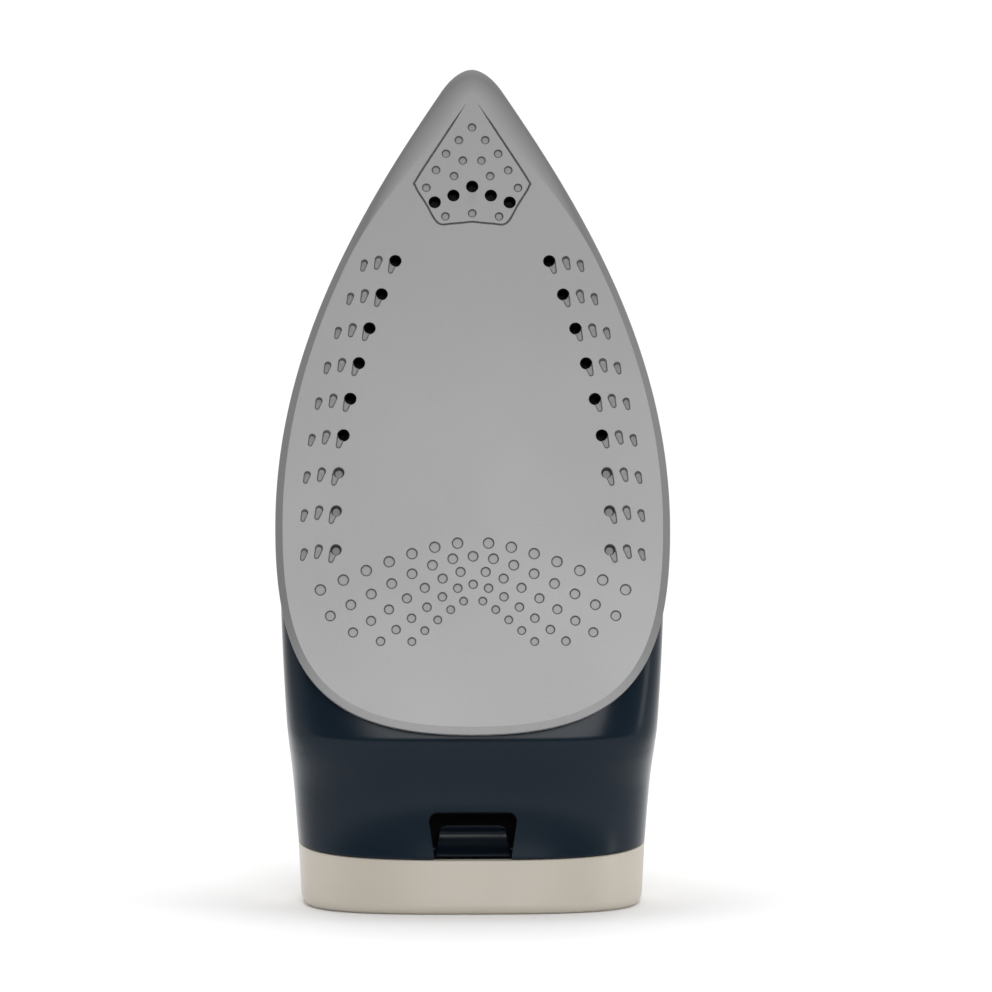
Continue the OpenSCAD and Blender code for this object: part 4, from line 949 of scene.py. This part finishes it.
def make_heel_cover():
    r = 2.4
    a = np.linspace(0, math.pi / 2, 9)
    rings = [heel_ring(r * (1 - math.cos(x)), r * (1 - math.sin(x))) for x in a]
    rings += [heel_ring(q, 0.0) for q in np.linspace(r + 0.4, SEAM_Q - EDGE_R, 24)]
    rings += [heel_ring(SEAM_Q - EDGE_R * (1 - math.sin(x)), EDGE_R * (1 - math.cos(x))) for x in a[2::2]]
    cover = loft("heel_cover_shell", rings)
    hollow = loft("hollow", [heel_ring(q, WALL) for q in (4, 8, 12, SEAM_Q + 1)])
    cut(cover, behind_cord_flat(0), cut(hollow, behind_cord_flat(WALL)))
    half, reach = GLAND_NECK_R + 0.9, GLAND_SLOT / 2
    slot = prism("slot", rounded_rectangle(2 * half, 2 * reach, 3), 2, 40)
    cut(cover, moved(slot, in_gland_frame()))
    for x, y in HEEL_SCREWS:
        mouth = [(3.7, -1), (3.45, 0), (3.35, 0.2)]
        well = turned_solid("well", [*mouth, (3.35, 2.4), (1.7, 2.4), (1.7, 20)], 40)
        cut(cover, moved(well, on_heel_face() @ shift(x, y, 0)))
    for side in (-1, 1):
        bed = prism("bed", rounded_rectangle(8.3, 46.3, 4.1), -1, 1.4)
        cut(cover, moved(bed, on_heel_face() @ shift(side * FOOT_X, 0, 0)))
    return piece(cover, "base", "cream", "heel_cover", smooth=30, weighted=True)


# ---- body shell, tank and handle ----

DIAL_Y = 100
DIAL_Z = 65.4


def handle_solid(start, end, out):
    s = np.linspace(start, end, int((end - start) * 24))
    angles = -np.arange(96) * 360 / 96
    return loft("handle_solid", [handle_point(np.full(96, v), angles, -out) for v in s])


def upper_shell(name, stations, steps=80):
    """A shell over the top of the body, from the split on one side to the split on the other."""
    top, split = (lambda q: 90.0), (lambda q: float(angle_at(q, split_z(q) + GAP / 2)))
    outer = body_rows(stations, top, split, steps)
    inner = body_rows([(q, 0.0) for q, _ in stations], top, split, steps, WALL)
    return thick_patch(name, outer, inner)


def make_body_shell():
    shell = upper_shell("body_cover", eased(SEAM_Q + GAP, TANK_Q - GAP / 2, 150))
    dial_hole = turned_solid("dial_hole", [(DIAL_R + 4.2, 0), (DIAL_R + 4.2, 20)], 96)
    spindle_hole = turned_solid("spindle_hole", [(12.3, -25), (12.3, 15)], 64)
    cut(
        shell,
        handle_solid(1, 2.6, GAP),
        moved(dial_hole, shift(0, DIAL_Y, DIAL_Z)),
        moved(spindle_hole, shift(0, DIAL_Y, DIAL_Z)),
    )
    return piece(shell, "base", "navy_gloss", "body_shell", smooth=30, weighted=True)


FLAP_AT = (228, 37.4)
FLAP_TILT = -34
FLAP_SIZE = (22, 15)
FLAP_HINGE_Y = -FLAP_SIZE[1] / 2 - 1.2
NOZZLE_AT = (248.5, 22.8)
NOZZLE_TILT = -45


def make_water_tank():
    stations = eased(TANK_Q + GAP / 2, 150, 30, ease_end=False)[:-1] + nose_stations(150)
    shell = upper_shell("tank_shell", stations)
    w, h = FLAP_SIZE
    port = prism("port", rounded_rectangle(w + 3.4, h + 3.4, 4.1), -10, 10)
    nozzle = turned_solid("nozzle_hole", [(4.8, -6), (4.8, 14)], 48)
    cut(
        shell,
        handle_solid(6, 8, GAP),
        moved(port, turned(*FLAP_AT, FLAP_TILT)),
        moved(block((16.4, 5, 20), (-8.2, FLAP_HINGE_Y - 2.2, -10)), turned(*FLAP_AT, FLAP_TILT)),
        moved(nozzle, turned(*NOZZLE_AT, NOZZLE_TILT)),
    )
    return piece(shell, "base", "smoke_tank", "water_tank", smooth=30, weighted=True)


BUTTON_AT = (163, 127.4)
BUTTON_TILT = -27
BUTTON_X = 9.2
BUTTON_SIZE = (16, 19)
BUTTON_TOP = 5
SLIDER_Y = 124
SLIDER_SLOT = 18
SLIDER_TRAVEL = 8
SLIDER_TOP = float(handle_z(3.5) + handle_high(3.5))
LAMP_AT = (68, 134)
SCREWS_AT = [(84, 101.6), (104, 105.2)]


def in_button_frame(side):
    return turned(*BUTTON_AT, BUTTON_TILT) @ shift(side * BUTTON_X, 0, 0)


def handle_skin(name, a0, a1, steps, rib=None):
    """Part of the handle's skin between two angles, with rounded long edges and an optional relief."""
    s = np.linspace(HANDLE_START, HANDLE_END, 420)
    edge = 1.4
    turn = rounding(edge, EDGE_R)
    first = [(a0 + d, inset) for d, inset in turn]
    last = [(a1 - d, inset) for d, inset in turn[::-1]]
    column = first + [(v, 0.0) for v in np.linspace(a0 + edge, a1 - edge, steps)] + last
    angle = np.array([c[0] for c in column])[None, :]
    ease = np.array([c[1] for c in column])[None, :]
    relief = rib(s[:, None], angle) if rib else 0.0
    outer = handle_point(s[:, None], angle, ease + relief)
    inner = handle_point(s[:, None], angle, WALL)
    return thick_patch(name, outer, inner)


def grip_ribs(s, angle):
    """Shallow grooves round the underside of the grip, deepest below the fingers."""
    along = 38 * s + 3.0 * np.cos(np.radians(angle + 90)) ** 2
    wave = np.clip(np.sin(along * 2 * math.pi / 5.2) * 1.6 - 0.75, 0, 1)
    there = smoothstep(2.1, 2.4, s) * (1 - smoothstep(4.9, 5.2, s))
    round_under = smoothstep(-168, -150, angle) * (1 - smoothstep(-30, -12, angle))
    return 0.5 * wave * there * round_under


def make_handle_top():
    shell = handle_skin("handle_cover", HANDLE_SPLIT + 1, 179 - HANDLE_SPLIT, 64)
    for y, z in SCREWS_AT:
        boss = turned_solid("boss", [(3.6, 6.2), (3.6, 33.8)], 32)
        cut(shell, moved(boss, shift(0, y, z)), operation="UNION")
        cut(shell, moved(turned_solid("bore", [(1.45, 0), (1.45, 20)], 24), shift(0, y, z)))
    w, h = BUTTON_SIZE
    for side in (-1, 1):
        hole = prism("hole", rounded_rectangle(w + 0.6, h + 0.6, 4), -9.8, 15)
        cut(shell, moved(hole, in_button_frame(side)))
    slot = prism("slot", rounded_rectangle(5, SLIDER_SLOT, 2.4), -6, 6)
    cut(shell, moved(slot, shift(0, SLIDER_Y, SLIDER_TOP)))
    lens = turned_solid("lens", [(2.7, -5), (2.7, 7)], 40)
    cut(shell, moved(lens, shift(0, *LAMP_AT)))
    return piece(shell, "base", "cream", "handle_top", smooth=30, weighted=True)


def make_handle_grip():
    shell = handle_skin("grip_sleeve", -179 - HANDLE_SPLIT, HANDLE_SPLIT - 1, 64, grip_ribs)
    for y, z in SCREWS_AT:
        boss = turned_solid("boss", [(4.4, 3.4), (4.4, 6)], 32)
        cut(shell, moved(boss, shift(0, y, z)), operation="UNION")
        well = turned_solid("well", [(2.8, -3), (2.8, 4.6), (1.6, 4.6), (1.6, 20)], 32)
        cut(shell, moved(well, shift(0, y, z)))
    return piece(shell, "base", "dark_grip", "handle_grip", smooth=30, weighted=True)


# ---- controls ----


def make_button(side, name, node, body, mark):
    """A push button with a dished top and a raised sign on it."""
    w, h = BUTTON_SIZE
    outline = rounded_rectangle(w, h, 3.7, 12)
    rings = [at_height(outline, -5), *soft_top(outline, BUTTON_TOP, 1.1)]
    for k in (0.84, 0.7, 0.5, 0.3, 0.12):
        rings.append(at_height(outline * k, BUTTON_TOP - 0.9 * (1 - (k / 0.86) ** 2)))
    cap = loft("cap", rings)
    plunger = turned_solid("plunger", [(3.7, -15), (4, -14.6), (4, -4.8)], 40)
    signs = [moved(sign, shift(0, 0, BUTTON_TOP - 1.0)) for sign in mark()]
    whole = moved(joined(name, [cap, plunger, *signs]), in_button_frame(side))
    return piece(whole, body, "dark_control", node, smooth=35)


def drop_sign():
    """One drop, for spray."""
    outline = drop_outline(1.9, 0.35, (0, 4.2))
    return [raised("sign", outline - (0, 1.2), 0, 0.42, 0.2)]


def steam_sign():
    """Three wavy strokes, for steam."""
    strokes = []
    for x in (-2.6, 0, 2.6):
        v = np.linspace(-3, 3, 15)
        strokes.append(tube("stroke", [(x + 0.7 * math.sin(k * 1.6), k, 0.15) for k in v], 0.34, 8))
    return strokes


def make_dial():
    """The temperature dial: a flange, a fluted grip and a sunken top."""
    n = 288
    a = np.arange(n) * 2 * math.pi / n
    flute = 0.55 * np.clip(np.cos(a * 36) * 1.5 - 0.35, 0, 1)

    def ring(r, z, k=0.0):
        """A circle with a share of the flutes' depth."""
        radius = r - k * flute
        return np.stack([radius * np.cos(a), radius * np.sin(a), np.full(n, z)], axis=1)

    flange = [(0.5, 0, 0), (0.1, 0.15, 0), (0, 0.5, 0), (0, 4, 0), (0.15, 4.3, 0), (0.5, 4.4, 0)]
    grip = [(1.3, 4.4, 0), (1.4, 4.6, 0), (1.4, 5.0, 0.2), (1.4, 5.5, 1), (1.4, 8.6, 1), (1.6, 9.1, 0.9)]
    top = [(2.1, 9.4, 0.5), (3.2, 9.4, 0), (4.6, 9.2, 0), (5, 8.6, 0), (5.4, 8.3, 0), (6, 8.2, 0)]
    rings = [ring(3.05, 0)] + [ring(DIAL_R - inset, z, k) for inset, z, k in flange + grip + top]
    rings += [ring(8, 8.1), ring(2, 8.1)]
    body = loft("body", rings)
    moved(body, shift(0, DIAL_Y, DIAL_Z + 1.6))
    return piece(body, "dial", "cream", "temperature_dial", smooth=35)


def make_dial_pointer():
    length = DIAL_R - 12
    bar = raised("dial_mark", rounded_rectangle(2.2, length, 1.05), 8.2, 9.0, 0.25)
    moved(bar, shift(0, DIAL_Y + 6 + length / 2, DIAL_Z + 1.6))
    return piece(bar, "dial", "navy_gloss", "dial_pointer")


def make_dial_bezel():
    """The ring round the dial, with the bush for its spindle."""
    rim = [(3.6, 0), (4, 0.4), (4, 1.9), (3.6, 2.45), (3, 2.6)]
    rim += [(1.3, 2.6), (0.9, 2.4), (0.8, 2.1), (0.8, 1.2)]
    profile = [(12, -5), (12, -4.6), (12, 0)] + [(DIAL_R + out, z) for out, z in rim] + [(3.05, 1.2)]
    ring = turned_solid("ring", profile, 128)
    cut(ring, turned_solid("bore", [(3.05, -8), (3.05, 4)], 32))
    moved(ring, shift(0, DIAL_Y, DIAL_Z))
    return piece(ring, "base", "silver_trim", "dial_bezel", smooth=30, weighted=True)


def make_scale_marks():
    """Dots for low, middle and high heat, and a tapering arc, printed proud on the bezel."""
    marks = []
    radius = DIAL_R + 2.4
    for count, centre in ((1, 30), (2, 90), (3, 150)):
        for i in range(count):
            angle = math.radians(centre + (i - (count - 1) / 2) * 4.2)
            dot = turned_solid("dot", [(0.6, -0.1), (0.6, 0.12), (0.45, 0.2)], 24)
            marks.append(moved(dot, shift(radius * math.cos(angle), radius * math.sin(angle), 2.6)))
    angle = np.radians(np.linspace(188, 330, 60))
    width = 0.12 + 0.5 * np.linspace(0, 1, 60)
    rings = []
    for v, w in zip(angle, width):
        out = np.array([math.cos(v), math.sin(v)])
        section = [(-w, 2.5), (-w, 2.74), (w, 2.74), (w, 2.5)]
        rings.append(np.array([(*(out * (radius + d)), z) for d, z in section]))
    marks.append(loft("arc", rings))
    whole = joined("dial_scale", marks)
    moved(whole, shift(0, DIAL_Y, DIAL_Z))
    return piece(whole, "base", "navy_gloss", smooth=35)


def make_slider():
    """The steam slider: a ribbed thumb pad on a stem."""
    outline = rounded_rectangle(13, 11, 2.5, 10)
    pad = loft("pad", [at_height(outline, 0.9), *soft_top(outline, 3.9, 0.8)])
    stem = prism("stem", rounded_rectangle(4.4, 8, 2), -5, 1.2)
    rib = rounded_rectangle(9.6, 0.8, 0.38, 5)
    ribs = [moved(raised("rib", rib, 3.6, 4.4, 0.3, 3), shift(0, 1.9 * i, 0)) for i in range(-2, 3)]
    whole = joined("slider_pad", [pad, stem, *ribs])
    moved(whole, shift(0, SLIDER_Y - SLIDER_TRAVEL / 2, SLIDER_TOP - 0.3))
    return piece(whole, "slider", "dark_control", "steam_slider")


def make_flap():
    """The filling flap: a softly crowned lid with a finger ridge and its hinge barrel."""
    w, h = FLAP_SIZE
    outline = rounded_rectangle(w, h, 2.8, 12)
    rings = [at_height(outline * 0.97, 0), at_height(outline, 0.3), *soft_top(outline, 2.0, 0.7)]
    rings += [at_height(outline * k, 2.0 + 0.2 * (1 - (k / 0.9) ** 2)) for k in (0.85, 0.6, 0.3)]
    lid = loft("lid", rings)
    ridge = raised("ridge", rounded_rectangle(9, 1.8, 0.85), 1.8, 3.0, 0.4)
    moved(ridge, shift(0, h / 2 - 2.4, 0))
    barrel = turned_solid("barrel", [(1.5, -5), (1.8, -4.7), (1.8, 4.7), (1.5, 5)], 32)
    arm = block((10, 2.4, 1.6), (-5, FLAP_HINGE_Y, 0.6))
    across = shift(0, FLAP_HINGE_Y, 1) @ ALONG_X
    lid = cut(lid, ridge, arm, moved(barrel, across), operation="UNION")
    cut(lid, moved(turned_solid("bore", [(0.85, -8), (0.85, 8)], 24), across))
    for side in (-1, 1):
        cut(lid, block((3, 2.6, 5), (side * 6.6 - 1.5, -8.2, -1)))
    moved(lid, turned(*FLAP_AT, FLAP_TILT))
    return piece(lid, "flap", "dark_control", "fill_flap", smooth=35, weighted=True)


# ---- floor, light and camera ----

FLOOR = [(-0.8, -0.25), (0.8, -0.25), (0.8, 0.45), (-0.8, 0.45)]


def make_floor():
    mesh = bpy.data.meshes.new("floor")
    mesh.from_pydata([(x, y, 0) for x, y in FLOOR], [], [(0, 1, 2, 3)])
    floor = linked("floor", mesh)
    finish = Finish("floor", (0.9, 0.9, 0.9), 0.9, Specular_IOR_Level=0.0)
    finish.tint(finish.ranged(finish.noise(3, 2), 0.3, 0.7, 0, 0.3), (0.88, 0.88, 0.88))
    floor.data.materials.append(finish.material)


def make_room():
    """A bright room that is darker behind the camera, which sees it as plain white."""
    world = bpy.data.worlds.new("studio")
    bpy.context.scene.world = world
    world.use_nodes = True
    nodes, links = world.node_tree.nodes, world.node_tree.links
    room = nodes["Background"]
    way = nodes.new("ShaderNodeTexCoord").outputs["Generated"]
    split = nodes.new("ShaderNodeSeparateXYZ")
    links.new(way, split.inputs[0])
    ramp = nodes.new("ShaderNodeMapRange")
    ramp.interpolation_type = "SMOOTHSTEP"
    room.inputs["Color"].default_value = (1, 1, 1, 1)
    for key, value in zip(("From Min", "From Max", "To Min", "To Max"), (-0.9, -0.1, 0.05, 0.85)):
        ramp.inputs[key].default_value = value
    links.new(split.outputs["Y"], ramp.inputs["Value"])
    links.new(ramp.outputs["Result"], room.inputs["Strength"])
    seen = nodes.new("ShaderNodeBackground")
    seen.inputs["Color"].default_value = (1, 1, 1, 1)
    seen.inputs["Strength"].default_value = 1.05
    mix = nodes.new("ShaderNodeMixShader")
    links.new(nodes.new("ShaderNodeLightPath").outputs["Is Camera Ray"], mix.inputs[0])
    links.new(room.outputs[0], mix.inputs[1])
    links.new(seen.outputs[0], mix.inputs[2])
    links.new(mix.outputs[0], nodes["World Output"].inputs[0])


def area_light(name, place, aim, size, power):
    light = bpy.data.lights.new(name, "AREA")
    light.size = size[0]
    if len(size) > 1:
        light.shape = "RECTANGLE"
        light.size_y = size[1]
    light.energy = power
    thing = linked(name, light)
    thing.location = place
    thing.rotation_euler = (Vector(aim) - Vector(place)).to_track_quat("-Z", "Y").to_euler()


def make_lights():
    area_light("front", (0.1, -1.1, 0.4), (0, 0, 0), (0.5,), 4.5)
    area_light("left", (-1.0, -0.35, 0.5), (0, 0, 0.1), (0.6,), 1)
    area_light("right", (1.0, -0.35, 0.4), (0, 0, 0.1), (0.3, 0.9), 2)
    area_light("top", (0, 0.2, 1.5), (0, 0.2, 0), (1.2,), 12)


def make_camera():
    """A level view of the soleplate from a little to the left, with a long lens."""
    distance, height, left, aim = 0.9, 0.1268, 0.012, 0.0185
    camera = bpy.data.cameras.new("camera")
    camera.lens = 110.45
    camera.sensor_width = 36
    thing = linked("camera", camera)
    sole_y = -HEEL_CENTRE_Z / math.cos(LEAN) / 1000
    thing.location = (-left, -distance + sole_y, height)
    thing.rotation_euler = (math.pi / 2, 0, -math.atan2(aim, distance))
    bpy.context.scene.camera = thing


make_camera()
make_floor()
make_room()
make_lights()
dress_cad_nodes()
make_soleplate()
make_skirt()
make_latch()
make_heel_cover()
make_body_shell()
make_water_tank()
make_handle_top()
make_handle_grip()
make_button(1, "spray_cap", "spray_button", "spray", drop_sign)
make_button(-1, "burst_cap", "burst_button", "burst", steam_sign)
make_dial()
make_dial_pointer()
make_dial_bezel()
make_scale_marks()
make_slider()
make_flap()

bpy.context.scene.view_settings.view_transform = "Standard"
